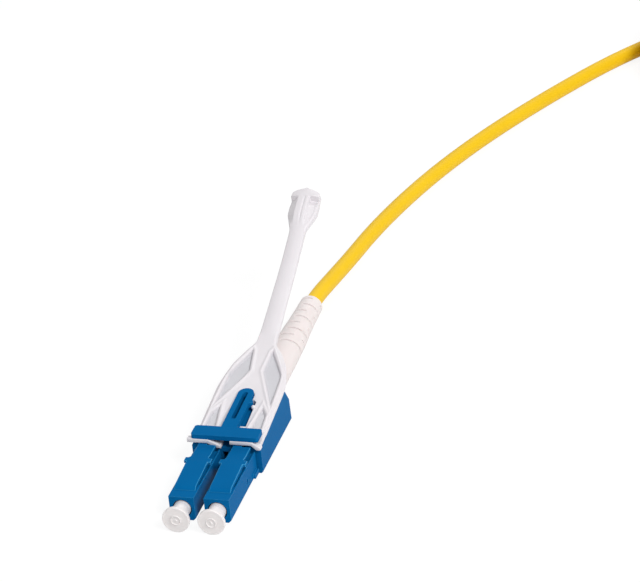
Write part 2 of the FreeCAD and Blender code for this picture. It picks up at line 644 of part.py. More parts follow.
def rails():
    """Low rails that join the feet to the web under the bar."""
    front, back = PLUG_LENGTH, TAB_START + 0.5
    profile = [(y, housing_top(y) + TAB_GAP + rise)
               for y, rise in ((front, 0), (back, 0), (back, TAB_THICK), (front, TAB_THICK))]
    return [side_prism(profile, right - RAIL, right) for right in (LEFT_RAIL, HALF)]


def grip():
    """Thumb grip at the strip's end: a grooved middle rib between sloping sides, and a head."""
    half, top, under, end = GRIP_HALF, GRIP_TOP, -GRIP_UNDER, GRIP_LENGTH
    root = -0.8
    outline = mirrored([(STRIP_END_HALF, root), (STRIP_END_HALF + 0.4, 1.2), (half - 0.1, 4.0),
                        (half, 5.2), (half - 0.1, end - 1.7), (half - 0.45, end - 0.8),
                        (half - 1.05, end - 0.25), (half - 1.65, end)])
    thin = STRIP_THICK / 2
    flared = side_prism([(root, -thin), (root, thin), (GRIP_FLARE, top), (end, top),
                         (end, under), (GRIP_FLARE, under)], -half, half)
    pad = plan_prism(outline, under, top).common(flared)
    stop = end - GRIP_HEAD
    cuts = [front_prism([(sign * GRIP_RIB, top), (sign * (half + 1), top + 1),
                         (sign * (half + 1), top - GRIP_SLOPE), (sign * half, top - GRIP_SLOPE)],
                        GRIP_FLARE / 2, stop) for sign in (1, -1)]
    cuts.append(box(-GRIP_GROOVE, GRIP_GROOVE, GRIP_FLARE / 2, stop, top - GRIP_GROOVE_DEPTH,
                    top + 1))
    pad = pad.cut(cuts)
    pad.rotate(Vector(0, 0, 0), Vector(1, 0, 0), math.degrees(math.atan(STRIP_SLOPE)))
    return pad.translated(Vector(0, STRIP_END - 0.4, STRIP_TOP - STRIP_THICK / 2))


def pull_tab():
    """One moulding: feet, rails, web with thin recesses, ramp, strip and grip."""
    upper, lower = tab_side(0)
    body = side_prism(upper + lower, -HALF, HALF).common(plan_prism(tab_plan(0), 0, 40))
    over = side_prism(tab_side(-TAB_SHOULDER)[0] + [(STRIP_END, 40), (TAB_START, 40)], -HALF, HALF)
    cuts = [over.cut(plan_prism(tab_plan(TAB_SHOULDER), 0, 41))]
    above = side_prism(tab_side(-RECESS)[0] + [(STRIP_END, 40), (TAB_START, 40)], -HALF, HALF)
    for outline in tab_recesses():
        for sign in (1, -1):
            cuts.append(above.common(plan_prism([(sign * x, y) for x, y in outline], 0, 40)))
    stem = STEM_HALF + WINDOW_GAP
    centre = STEM_END - STEM_HALF
    front = TAB_START + WINDOW_SETBACK
    cuts += [box(-stem, stem, front, centre, 0, 40),
             Part.makeCylinder(stem, 40, Vector(0, centre, 0)),
             box(-STEM_HALF - WINDOW_LEFT, STEM_HALF + WINDOW_RIGHT, front,
                 BARB_START + BARB * 0.8, 0, 40)]
    body = body.cut(cuts)
    return join(body, *lips(), *rails(), grip())


# ---------------------------------------------------------------- cable tail
def route_points():
    """The loose cable's points in the building frame."""
    points = []
    for right, back, height in CABLE_ROUTE:
        level = EXIT_Z if height is None else FLOOR_Z + height
        points.append(Vector(right, BOOT_END + back, level))
    return points


def meeting_point():
    """Where the loose cable meets the coil's outer turn, and the two directions there."""
    points = route_points()
    heading = (points[-1] - points[-2]).normalize()
    return points[-1], heading, Vector(heading.y, -heading.x, 0)


def coil_base():
    """Point on the floor under the coil's centre."""
    point, _, inward = meeting_point()
    centre = point + inward * COIL_OUTER_R
    return Vector(centre.x, centre.y, FLOOR_Z)


def cable_coil():
    """Closed outer shape of the stored turns."""
    outer = Part.makeCylinder(COIL_OUTER_R + CABLE_R, COIL_HEIGHT, coil_base())
    inner = Part.makeCylinder(COIL_INNER_R - CABLE_R, COIL_HEIGHT, coil_base())
    return outer.cut([inner, coil_tie()])


def coil_tie():
    """Flat strap closed round the coil's turns."""
    inner = COIL_INNER_R - CABLE_R - TIE_ROOM
    outer = COIL_OUTER_R + CABLE_R + TIE_ROOM
    half = TIE_WIDTH / 2
    top = TIE_THICK + COIL_HEIGHT
    strap = box(inner - TIE_THICK, outer + TIE_THICK, -half, half, 0, top + TIE_THICK)
    strap = strap.cut(box(inner, outer, -half, half, TIE_THICK, top))
    strap.rotate(Vector(0, 0, 0), Vector(0, 0, 1), TIE_ANGLE)
    return strap.translated(coil_base())


def end_points():
    """Axis of the jacket's end, which crosses over the coil and comes down to the floor."""
    start = coil_base() + Vector(COIL_INNER_R, 0, 0)
    top, low = COIL_HEIGHT - CABLE_R, CABLE_R
    over = top + COIL_PITCH
    return [start + Vector(0, -away, level)
            for away, level in ((0, top), (END_CLIMB, over), (END_LEVEL, over), (END_DOWN, low),
                                (END_FLAT, low))]


def cable_end():
    """The jacket's last stretch, cut square."""
    return sweep(end_points(), CABLE_R)[0]


def bare_fibres():
    """The two stripped fibres and the trimmed yarn round their roots."""
    tail = end_points()
    root, ahead = tail[-1], (tail[-1] - tail[-2]).normalize()
    aside = Vector(ahead.y, -ahead.x, 0)
    near, far = FIBRE_R + 0.05, STRIPPED * math.tan(math.radians(FIBRE_SPLAY))
    pieces = {}
    for side, sign in (("left", -1), ("right", 1)):
        points = [root + aside * (sign * near), root + aside * (sign * near) + ahead * YARN,
                  root + aside * (sign * (near + far)) + ahead * (YARN + STRIPPED)]
        pieces["bare_fibre_" + side] = sweep(points, FIBRE_R)[0]
    sheath = Part.makeCylinder(YARN_R, YARN, root, ahead)
    pieces["yarn_end"] = sheath.cut(list(pieces.values()))
    return pieces


def loose_cable():
    """The tail from the boot to the coil."""
    solid, length, radii = sweep(route_points(), CABLE_R)
    print("cable tube: length %.1f, volume %.1f, section x length %.1f"
          % (length, solid.Volume, math.pi * CABLE_R ** 2 * length))
    print("cable tube radii:", [round(radius, 1) for radius in radii])
    return solid


# ---------------------------------------------------------------- the whole part
def own_nodes():
    """The connector's own pieces by node name."""
    nodes = {}
    for side in AXES:
        nodes["plug_body_" + side] = plug_body(side)
        nodes["latch_" + side] = latch(side)
        nodes["ferrule_" + side] = ferrule(side)
        nodes["ferrule_flange_" + side] = ferrule_flange(side)
        nodes["ferrule_spring_" + side] = ferrule_spring(side)
        nodes["spring_stop_" + side] = spring_stop(side)
        nodes["dust_cap_" + side] = dust_cap(side)
        nodes["fibre_" + side] = fibre(side)
    nodes["housing_base"] = housing_base()
    nodes["housing_cover"] = housing_cover()
    nodes["crimp_core"] = crimp_core()
    nodes["crimp_sleeve"] = crimp_sleeve()
    nodes["strain_boot"] = strain_boot()
    nodes["cable_in_boot"] = cable_in_boot()
    nodes["trigger_clip"] = trigger_clip()
    nodes["pull_tab"] = pull_tab()
    return nodes


def tail_nodes():
    """The free cable and what is on it."""
    return {"cable_tail": loose_cable(), "cable_coil": cable_coil(), "coil_tie": coil_tie(),
            "cable_end": cable_end(), **bare_fibres()}


def main():
    os.makedirs("parts", exist_ok=True)
    nodes = own_nodes()
    box_all = Part.makeCompound(list(nodes.values())).optimalBoundingBox()
    origin = Vector(box_all.Center.x, box_all.Center.y, box_all.ZMin)
    print("connector box: %.2f x %.2f x %.2f" % (box_all.XLength, box_all.YLength, box_all.ZLength))
    print("origin in the building frame:", [round(value, 3) for value in origin])
    nodes.update(tail_nodes())
    for name, shape in nodes.items():
        placed = shape.translated(-origin)
        solids = placed.Solids
        if not placed.isValid() or not solids:
            print("CHECK", name, "valid", placed.isValid(), "solids", len(solids))
        placed.exportStep(os.path.join("parts", name + ".step"))
        print("%-22s solids %d volume %9.3f" % (name, len(solids), placed.Volume))


main()
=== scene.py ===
"""Studio scene of a duplex fibre plug with a push-pull tab and its yellow cable.

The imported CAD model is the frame. Its hard pieces keep their shape and get rounded edges and
moulded finishes. The pull tab, the dust caps, the cable and its yarn are built here in their
place, and ride on the same bodies.
"""

import json  # noqa: E402
import logging  # noqa: E402
import math  # noqa: E402
import random  # noqa: E402
from dataclasses import dataclass, field  # noqa: E402
from enum import Enum  # noqa: E402

import bmesh  # noqa: E402
import bpy  # noqa: E402
from mathutils import Matrix, Vector  # noqa: E402

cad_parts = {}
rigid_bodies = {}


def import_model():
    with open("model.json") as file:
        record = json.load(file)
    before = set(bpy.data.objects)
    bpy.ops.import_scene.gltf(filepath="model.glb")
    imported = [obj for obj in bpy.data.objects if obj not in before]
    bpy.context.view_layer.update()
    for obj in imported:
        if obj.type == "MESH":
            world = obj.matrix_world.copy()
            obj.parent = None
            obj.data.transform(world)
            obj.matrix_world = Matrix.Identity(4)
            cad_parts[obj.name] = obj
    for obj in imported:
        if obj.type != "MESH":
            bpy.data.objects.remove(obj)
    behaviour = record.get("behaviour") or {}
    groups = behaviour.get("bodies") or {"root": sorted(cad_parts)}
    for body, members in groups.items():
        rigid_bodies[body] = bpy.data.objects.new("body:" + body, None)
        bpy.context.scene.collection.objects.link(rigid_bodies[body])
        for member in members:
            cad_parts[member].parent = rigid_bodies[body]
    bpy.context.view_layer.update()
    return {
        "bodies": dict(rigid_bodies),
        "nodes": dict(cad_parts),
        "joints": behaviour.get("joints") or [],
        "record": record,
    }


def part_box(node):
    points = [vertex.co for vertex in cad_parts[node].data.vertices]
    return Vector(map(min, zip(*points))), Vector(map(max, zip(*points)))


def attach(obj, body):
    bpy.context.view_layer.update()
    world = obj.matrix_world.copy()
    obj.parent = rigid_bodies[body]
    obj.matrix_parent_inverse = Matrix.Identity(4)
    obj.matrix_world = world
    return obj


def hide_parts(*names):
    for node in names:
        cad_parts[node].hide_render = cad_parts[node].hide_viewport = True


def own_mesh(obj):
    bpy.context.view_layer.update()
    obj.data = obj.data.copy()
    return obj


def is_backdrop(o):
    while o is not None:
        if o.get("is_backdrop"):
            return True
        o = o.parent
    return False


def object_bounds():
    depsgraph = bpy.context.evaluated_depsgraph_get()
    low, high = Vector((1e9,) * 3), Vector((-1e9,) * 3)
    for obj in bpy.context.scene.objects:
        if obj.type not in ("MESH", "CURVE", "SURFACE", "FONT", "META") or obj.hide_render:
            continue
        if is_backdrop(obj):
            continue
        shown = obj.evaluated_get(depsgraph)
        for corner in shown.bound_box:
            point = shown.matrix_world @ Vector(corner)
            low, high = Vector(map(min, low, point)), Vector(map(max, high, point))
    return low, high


log = logging.getLogger("scene")
MM = 0.001
SIDES = ("left", "right")
# Mesh attribute that masks the painted shade on the tab's recessed thin places.
PAINTED_SHADE_MASK = "painted_shade_mask"
ON_AXIS = 1e-7
Colour = tuple[float, float, float]
Spot = tuple[float, float]
Nodes, Links, Socket = bpy.types.Nodes, bpy.types.NodeLinks, bpy.types.NodeSocket


class Slot(Enum):
    """Material slots of the record, and a lighter blue painted as a highlight on the blue plastic's
    rounded edges.
    """

    BLUE = "housing_blue"
    TAB = "tab_white"
    BOOT = "boot_white"
    CAP = "cap_white"
    CERAMIC = "ceramic_white"
    FLANGE = "flange_metal"
    SPRING = "spring_steel"
    STOP = "stop_metal"
    JACKET = "jacket_yellow"
    BUFFER = "fibre_buffer"
    YARN = "yarn"
    TIE = "tie_white"
    # Painted highlight: lighter blue on the rounded edges of the blue plastic.
    EDGE_HIGHLIGHT = "housing_blue_edge_highlight"


# ---------------------------------------------------------------- finishes
@dataclass(frozen=True)
class Finish:
    """Look of one material: colours, gloss and two layers of relief.

    Args:
        base: main colour, linear.
        shade: colour of the slow mottling.
        roughness: mean roughness of the surface.
        metallic: 1 for bare metal.
        specular: strength of the dielectric reflection.
        mottle_mm: size of the slow colour clouds.
        grain_mm: size of the fine grain.
        grain_depth_mm: height of the fine grain.
        wave_depth_mm: height of the slow surface waviness.
        translucent: share of light scattered under the surface.
        recess_shade: darker colour painted as shade on the recessed thin places, where the mesh's
            shade mask attribute is 1.
    """

    base: Colour
    shade: Colour
    roughness: float = 0.4
    metallic: float = 0.0
    specular: float = 0.5
    mottle_mm: float = 6.0
    grain_mm: float = 0.25
    grain_depth_mm: float = 0.004
    wave_depth_mm: float = 0.012
    translucent: float = 0.0
    recess_shade: Colour | None = None


FINISHES: dict[Slot, Finish] = {
    Slot.BLUE: Finish((0.002, 0.130, 0.350), (0.002, 0.112, 0.308), 0.32, specular=0.006,
                      grain_mm=0.22, grain_depth_mm=0.003),
    # Lighter blue for the rounded edges of the blue plastic: a painted highlight, with a little
    # more gloss.
    Slot.EDGE_HIGHLIGHT: Finish((0.030, 0.270, 0.520), (0.022, 0.240, 0.480), 0.24, specular=0.15,
                      grain_mm=0.22, grain_depth_mm=0.003),
    # The tab's recessed thin places get a darker grey: painted shade.
    Slot.TAB: Finish((0.745, 0.715, 0.74), (0.70, 0.67, 0.695), 0.42, translucent=0.15,
                     grain_mm=0.3, grain_depth_mm=0.003, recess_shade=(0.56, 0.555, 0.585)),
    Slot.BOOT: Finish((0.80, 0.735, 0.725), (0.75, 0.685, 0.675), 0.5, translucent=0.6,
                      grain_mm=0.18, grain_depth_mm=0.004),
    Slot.CAP: Finish((0.80, 0.765, 0.76), (0.75, 0.715, 0.71), 0.38, translucent=0.25,
                     grain_mm=0.35, grain_depth_mm=0.002),
    Slot.CERAMIC: Finish((0.85, 0.85, 0.80), (0.80, 0.80, 0.76), 0.12, grain_depth_mm=0.0005),
    Slot.FLANGE: Finish((0.62, 0.60, 0.56), (0.52, 0.50, 0.47), 0.25, 1.0, grain_mm=0.1),
    Slot.SPRING: Finish((0.45, 0.45, 0.46), (0.36, 0.36, 0.38), 0.3, 1.0, grain_mm=0.08),
    Slot.STOP: Finish((0.60, 0.58, 0.54), (0.50, 0.48, 0.45), 0.28, 1.0, grain_mm=0.1),
    Slot.JACKET: Finish((0.86, 0.555, 0.010), (0.81, 0.505, 0.007), 0.46, specular=0.18,
                        mottle_mm=9.0, grain_mm=0.2, grain_depth_mm=0.006, wave_depth_mm=0.03),
    Slot.BUFFER: Finish((0.84, 0.84, 0.78), (0.78, 0.78, 0.72), 0.35, translucent=0.2),
    Slot.YARN: Finish((0.80, 0.60, 0.13), (0.66, 0.46, 0.07), 0.55, mottle_mm=0.5),
    Slot.TIE: Finish((0.80, 0.80, 0.80), (0.72, 0.72, 0.72), 0.6, grain_mm=0.35,
                     grain_depth_mm=0.02),
}


class FinishShop:
    """Builds one procedural material per slot and hands it out.

    WAVE_MM is the size of the surface's slow waves, ROUGHNESS_SPREAD how far its roughness
    strays, and SCATTER and SCATTER_MM how far each colour travels in a translucent plastic.
    """

    WAVE_MM = 2.2
    ROUGHNESS_SPREAD = 0.06
    SCATTER = (1.0, 0.9, 0.9)
    SCATTER_MM = 0.8

    def __init__(self) -> None:
        """Starts with no materials."""
        self.made: dict[Slot, bpy.types.Material] = {}

    def get(self, slot: Slot) -> bpy.types.Material:
        """Material of a slot, built on first use.

        Args:
            slot: the record's material slot.

        Returns:
            The Blender material.
        """
        if slot not in self.made:
            self.made[slot] = self._build(slot, FINISHES[slot])
        return self.made[slot]

    def _build(self, slot: Slot, finish: Finish) -> bpy.types.Material:
        """Material with mottling, roughness grain and two layers of bump.

        Args:
            slot: names the material.
            finish: its looks.

        Returns:
            The material.
        """
        material = bpy.data.materials.new(slot.value)
        material.use_nodes = True
        nodes, links = material.node_tree.nodes, material.node_tree.links
        shader = nodes["Principled BSDF"]
        shader.inputs["Metallic"].default_value = finish.metallic
        shader.inputs["Specular IOR Level"].default_value = finish.specular
        if finish.translucent:
            shader.inputs["Subsurface Weight"].default_value = finish.translucent
            shader.inputs["Subsurface Radius"].default_value = self.SCATTER
            shader.inputs["Subsurface Scale"].default_value = self.SCATTER_MM * MM
        place = nodes.new("ShaderNodeTexCoord")

        clouds = self._noise(nodes, links, place, finish.mottle_mm, detail=3.0)
        blend = nodes.new("ShaderNodeMix")
        blend.data_type = "RGBA"
        blend.inputs["A"].default_value = (*finish.base, 1.0)
        blend.inputs["B"].default_value = (*finish.shade, 1.0)
        links.new(clouds, blend.inputs["Factor"])
        colour = blend.outputs["Result"]
        # Painted shade on the recessed thin places, where the finish has one.
        if finish.recess_shade:
            colour = self._darken_recesses(nodes, links, colour, finish.recess_shade)
        links.new(colour, shader.inputs["Base Color"])

        grain = self._noise(nodes, links, place, finish.grain_mm, detail=2.0)
        gloss = nodes.new("ShaderNodeMapRange")
        gloss.inputs["To Min"].default_value = finish.roughness - self.ROUGHNESS_SPREAD
        gloss.inputs["To Max"].default_value = finish.roughness + self.ROUGHNESS_SPREAD
        links.new(grain, gloss.inputs["Value"])
        links.new(gloss.outputs["Result"], shader.inputs["Roughness"])

        slow = self._noise(nodes, links, place, self.WAVE_MM, detail=1.0)
        waves = self._bump(nodes, links, slow, finish.wave_depth_mm, None)
        fine = self._bump(nodes, links, grain, finish.grain_depth_mm, waves)
        links.new(fine, shader.inputs["Normal"])
        return material

    @staticmethod
    def _darken_recesses(nodes: Nodes, links: Links, colour: Socket, recess_shade: Colour) -> Socket:
        """Colour that turns to a darker one, painted as shade, where the mesh's recess mask is 1.

        Args:
            nodes: the material's nodes.
            links: its links.
            colour: the colour elsewhere.
            recess_shade: the darker colour of the painted shade.

        Returns:
            The mixed colour.
        """
        share = nodes.new("ShaderNodeAttribute")
        share.attribute_name = PAINTED_SHADE_MASK
        blend = nodes.new("ShaderNodeMix")
        blend.data_type = "RGBA"
        blend.inputs["B"].default_value = (*recess_shade, 1.0)
        links.new(share.outputs["Fac"], blend.inputs["Factor"])
        links.new(colour, blend.inputs["A"])
        return blend.outputs["Result"]

    @staticmethod
    def _noise(nodes: Nodes, links: Links, place: bpy.types.Node, size_mm: float,
               detail: float) -> Socket:
        """Noise whose features are about size_mm across.

        Args:
            nodes: the material's nodes.
            links: its links.
            place: the coordinates.
            size_mm: size of its features.
            detail: finer layers on them.

        Returns:
            Its value.
        """
        noise = nodes.new("ShaderNodeTexNoise")
        noise.inputs["Scale"].default_value = 1.0 / (size_mm * MM)
        noise.inputs["Detail"].default_value = detail
        links.new(place.outputs["Object"], noise.inputs["Vector"])
        return noise.outputs["Fac"]

    @staticmethod
    def _bump(nodes: Nodes, links: Links, height: Socket, depth_mm: float,
              below: Socket | None) -> Socket:
        """Bump over another normal, if one is given.

        Args:
            nodes: the material's nodes.
            links: its links.
            height: its height, 0 to 1.
            depth_mm: what a height of 1 stands for.
            below: the normal below it.

        Returns:
            The new normal.
        """
        bump = nodes.new("ShaderNodeBump")
        bump.inputs["Strength"].default_value = 1.0
        bump.inputs["Distance"].default_value = depth_mm * MM
        links.new(height, bump.inputs["Height"])
        if below is not None:
            links.new(below, bump.inputs["Normal"])
        return bump.outputs["Normal"]


# ---------------------------------------------------------------- CAD pieces
@dataclass(frozen=True)
class Edging:
    """How a CAD node's edges are rounded.

    Args:
        width_mm: width of the rounding.
        segments: steps across it.
    """

    width_mm: float
    segments: int = 3


# The edging of the nodes whose names start with the key; the others keep their edges.
EDGINGS: dict[str, Edging] = {
    "plug_body": Edging(0.14),
    "latch": Edging(0.12),
    "housing_base": Edging(0.16),
    "housing_cover": Edging(0.10),
    "trigger_clip": Edging(0.16),
    "strain_boot": Edging(0.08, 2),
    "crimp": Edging(0.05, 2),
    "spring_stop": Edging(0.05, 2),
    "ferrule_flange": Edging(0.05, 2),
    "ferrule_left": Edging(0.05, 2),
    "ferrule_right": Edging(0.05, 2),
}


class CadDresser:
    """Gives the CAD nodes rounded edges and their finishes.

    Corners closer than WELD_MM are joined, and so are faces that bend less than FLAT. Edges
    sharper than SHARP are rounded. FACE_WEIGHT keeps the large faces' shading flat.
    """

    SHARP = math.radians(32)
    FLAT = math.radians(0.6)
    WELD_MM = 0.002
    FACE_WEIGHT = 80

    def __init__(self, frame: dict, shop: FinishShop) -> None:
        """Takes the CAD nodes, their slots and their joints from the frame.

        Args:
            frame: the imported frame.
            shop: where the finishes come from.
        """
        self.nodes = frame["nodes"]
        self.joints = {joint["name"]: joint for joint in frame["record"]["behaviour"]["joints"]}
        self.shop = shop
        self.slots = {part["node"]: Slot(part["material_slot"])
                      for part in frame["record"]["subparts"]}

    def dress(self) -> None:
        """Puts the finish and the edging on every CAD node."""
        for name, piece in self.nodes.items():
            piece.data.materials.clear()
            piece.data.materials.append(self.shop.get(self.slots[name]))
            # The blue pieces get a second, lighter blue for their rounded edges: a painted
            # highlight.
            if self.slots[name] is Slot.BLUE:
                piece.data.materials.append(self.shop.get(Slot.EDGE_HIGHLIGHT))
            for key, edging in EDGINGS.items():
                if name.startswith(key):
                    self._round(piece, edging)
                    break
        log.info("dressed %d CAD nodes", len(self.nodes))
        for side in SIDES:
            self._shorten_spring("ferrule_spring_" + side)

    def _shorten_spring(self, node: str) -> None:
        """Gives a ferrule's spring a mesh of its own.

        Args:
            node: the spring's node.
        """
        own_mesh(self.nodes[node])

    @classmethod
    def _round(cls, piece: bpy.types.Object, edging: Edging) -> None:
        """Rounds a piece's edges; the last material goes on the rounding, which on the blue pieces
        is the lighter blue of the painted edge highlight.

        Args:
            piece: the piece.
            edging: how wide the rounding is.
        """
        weld = piece.modifiers.new("weld", "WELD")
        weld.merge_threshold = cls.WELD_MM * MM
        flat = piece.modifiers.new("flat", "DECIMATE")
        flat.decimate_type = "DISSOLVE"
        flat.angle_limit = cls.FLAT
        bevel = piece.modifiers.new("bevel", "BEVEL")
        bevel.width = edging.width_mm * MM
        bevel.segments = edging.segments
        bevel.limit_method = "ANGLE"
        bevel.angle_limit = cls.SHARP
        bevel.miter_outer = "MITER_ARC"
        bevel.material = len(piece.data.materials) - 1
        for face in piece.data.polygons:
            face.use_smooth = True
        normals = piece.modifiers.new("normals", "WEIGHTED_NORMAL")
        normals.weight = cls.FACE_WEIGHT
        normals.keep_sharp = True


# ---------------------------------------------------------------- mesh helpers
def new_piece(name: str, mesh: bpy.types.Mesh, material: bpy.types.Material,
              soft: bool = True) -> bpy.types.Object:
    """Object in the scene with one material.

    Args:
        name: the piece's name.
        mesh: its mesh, in metres in the row frame.
        material: its material.
        soft: whether its faces are shaded smooth.

    Returns:
        The new object.
    """
    mesh.materials.append(material)
    if soft:
        for face in mesh.polygons:
            face.use_smooth = True
    piece = bpy.data.objects.new(name, mesh)
    bpy.context.scene.collection.objects.link(piece)
    return piece


def finished(bm: bmesh.types.BMesh, name: str) -> bpy.types.Mesh:
    """Mesh made from a bmesh, with its faces turned outwards.

    Args:
        bm: the bmesh, which is freed.
        name: the mesh's name.

    Returns:
        The mesh.
    """
    bmesh.ops.recalc_face_normals(bm, faces=bm.faces)
    mesh = bpy.data.meshes.new(name)
    bm.to_mesh(mesh)
    bm.free()
    return mesh


def skin(bm: bmesh.types.BMesh, rings: list[list[bmesh.types.BMVert]]) -> None:
    """Closes a body over rings of as many corners each, with a face at both ends.

    Args:
        bm: the bmesh.
        rings: its rings of corners, in order.
    """
    for one, two in zip(rings, rings[1:]):
        for i in range(len(one)):
            j = (i + 1) % len(one)
            bm.faces.new((one[i], one[j], two[j], two[i]))
    bm.faces.new(rings[0])
    bm.faces.new(reversed(rings[-1]))


def smooth(t: float) -> float:
    """Soft step from 0 to 1.

    Args:
        t: place along the step.

    Returns:
        The step's value.
    """
    t = min(1.0, max(0.0, t))
    return t * t * (3.0 - 2.0 * t)


def round_edges(bm: bmesh.types.BMesh, edges: list[bmesh.types.BMEdge], width_mm: float) -> None:
    """Rounds edges of a bmesh in three steps.

    Args:
        bm: the bmesh.
        edges: the edges.
        width_mm: width of the rounding.
    """
    bmesh.ops.bevel(bm, geom=edges, offset=width_mm * MM, segments=3, profile=0.5,
                    affect="EDGES")


def prism(datum: "Datum", outline: tuple[Spot, ...], front: float, back: float,
          rounding: float) -> bpy.types.Mesh:
    """Bar with an outline seen from the front and rounded edges.

    Args:
        datum: where its measures count from.
        outline: right and up of its corners.
        front: its front end.
        back: its back end.
        rounding: of all its edges.

    Returns:
        A closed mesh.
    """
    bm = bmesh.new()
    skin(bm, [[bm.verts.new(datum.at(x, y, z)) for x, z in outline] for y in (front, back)])
    bmesh.ops.recalc_face_normals(bm, faces=bm.faces)
    round_edges(bm, bm.edges[:], rounding)
    return finished(bm, "prism")


def upright(datum: "Datum", outline: tuple[Spot, ...], bottom: float,
            top: float) -> bpy.types.Mesh:
    """Upright prism with an outline seen from above.

    Args:
        datum: where its measures count from.
        outline: right and back of its corners.
        bottom: its lower end.
        top: its upper end.

    Returns:
        A closed mesh.
    """
    bm = bmesh.new()
    skin(bm, [[bm.verts.new(datum.at(x, y, z)) for x, y in outline] for z in (bottom, top)])
    return finished(bm, "upright")


def combine(base: bpy.types.Mesh, steps: list[tuple[bpy.types.Mesh, str]]) -> bpy.types.Mesh:
    """Joins meshes to a base or cuts them out of it.

    Args:
        base: the mesh to start from.
        steps: each mesh with UNION or DIFFERENCE.

    Returns:
        The result.
    """
    collection = bpy.context.scene.collection
    body = bpy.data.objects.new("work", base)
    collection.objects.link(body)
    for mesh, operation in steps:
        tool = bpy.data.objects.new("tool", mesh)
        collection.objects.link(tool)
        change = body.modifiers.new("change", "BOOLEAN")
        change.operation, change.object, change.solver = operation, tool, "EXACT"
        graph = bpy.context.evaluated_depsgraph_get()
        result = bpy.data.meshes.new_from_object(body.evaluated_get(graph))
        body.modifiers.clear()
        body.data = result
        bpy.data.objects.remove(tool)
    result = body.data
    bpy.data.objects.remove(body)
    return result


def inside_distance(corners: tuple[Spot, ...], x: float, y: float) -> float:
    """Distance of a point inside a convex outline, negative outside.

    Args:
        corners: the outline's corners, counterclockwise.
        x: the point's first coordinate.
        y: its second.

    Returns:
        The distance to the nearest side's line.
    """
    nearest = math.inf
    for (x0, y0), (x1, y1) in zip(corners, corners[1:] + corners[:1]):
        length = math.hypot(x1 - x0, y1 - y0)
        nearest = min(nearest, ((x1 - x0) * (y - y0) - (y1 - y0) * (x - x0)) / length)
    return nearest


def spline_through(knots: tuple[Spot, ...], at: float) -> float:
    """Value at a place on a smooth line through knots.

    Args:
        knots: place and value of each knot, in order.
        at: the place asked for.

    Returns:
        The value, constant outside the knots.
    """
    if at <= knots[0][0]:
        return knots[0][1]
    if at >= knots[-1][0]:
        return knots[-1][1]
    index = max(i for i, knot in enumerate(knots[:-1]) if knot[0] <= at)
    (x0, y0), (x1, y1) = knots[index], knots[index + 1]

    def slope(i: int) -> float:
        """Slope of the line at a knot.

        Args:
            i: the knot.

        Returns:
            The slope, 0 at the ends and where the line turns back.
        """
        if i in (0, len(knots) - 1):
            return 0.0
        before = (knots[i][1] - knots[i - 1][1]) / (knots[i][0] - knots[i - 1][0])
        after = (knots[i + 1][1] - knots[i][1]) / (knots[i + 1][0] - knots[i][0])
        return 0.0 if before * after <= 0 else 2 * before * after / (before + after)

    span = x1 - x0
    t = (at - x0) / span
    return ((1 + 2 * t) * (1 - t) ** 2 * y0 + t * (1 - t) ** 2 * span * slope(index)
            + t * t * (3 - 2 * t) * y1 - t * t * (1 - t) * span * slope(index + 1))


def lathe(name: str, profile: list[Spot], centre: Vector,
          segments: int = 96) -> bpy.types.Mesh:
    """Mesh turned about the Y direction.

    Args:
        name: the mesh's name.
        profile: radius and Y pairs in metres, counted from the centre.
        centre: point on the axis.
        segments: steps round the axis.

    Returns:
        The closed mesh.
    """
    bm = bmesh.new()
    rings = []
    for radius, y in profile:
        if radius < ON_AXIS:
            rings.append([bm.verts.new(centre + Vector((0, y, 0)))])
            continue
        rings.append([bm.verts.new(centre + Vector((radius * math.cos(a), y, radius * math.sin(a))))
                      for a in (math.tau * i / segments for i in range(segments))])
    for one, two in zip(rings, rings[1:]):
        for i in range(segments):
            j = (i + 1) % segments
            corners = [one[i % len(one)], one[j % len(one)], two[j % len(two)], two[i % len(two)]]
            unique = list(dict.fromkeys(corners))
            if len(unique) > 2:
                bm.faces.new(unique)
    return finished(bm, name)


def rounded(profile: list[tuple[float, float, float]], steps: int = 5) -> list[Spot]:
    """Profile with its corners rounded.

    Args:
        profile: radius, Y and corner rounding, all in the same unit.
        steps: points on each rounding.

    Returns:
        Radius and Y pairs.
    """
    longest_share = 0.49
    out = []
    for index, (r, y, rounding) in enumerate(profile):
        if rounding <= 0 or index in (0, len(profile) - 1):
            out.append((r, y))
            continue
        here = Vector((r, y))
        before, after = Vector(profile[index - 1][:2]) - here, Vector(profile[index + 1][:2]) - here
        reach = min(rounding, before.length * longest_share, after.length * longest_share)
        enter, leave = here + before.normalized() * reach, here + after.normalized() * reach
        for step in range(steps + 1):
            t = step / steps
            point = enter * (1 - t) ** 2 + here * 2 * t * (1 - t) + leave * t ** 2
            out.append((point.x, point.y))
    return out


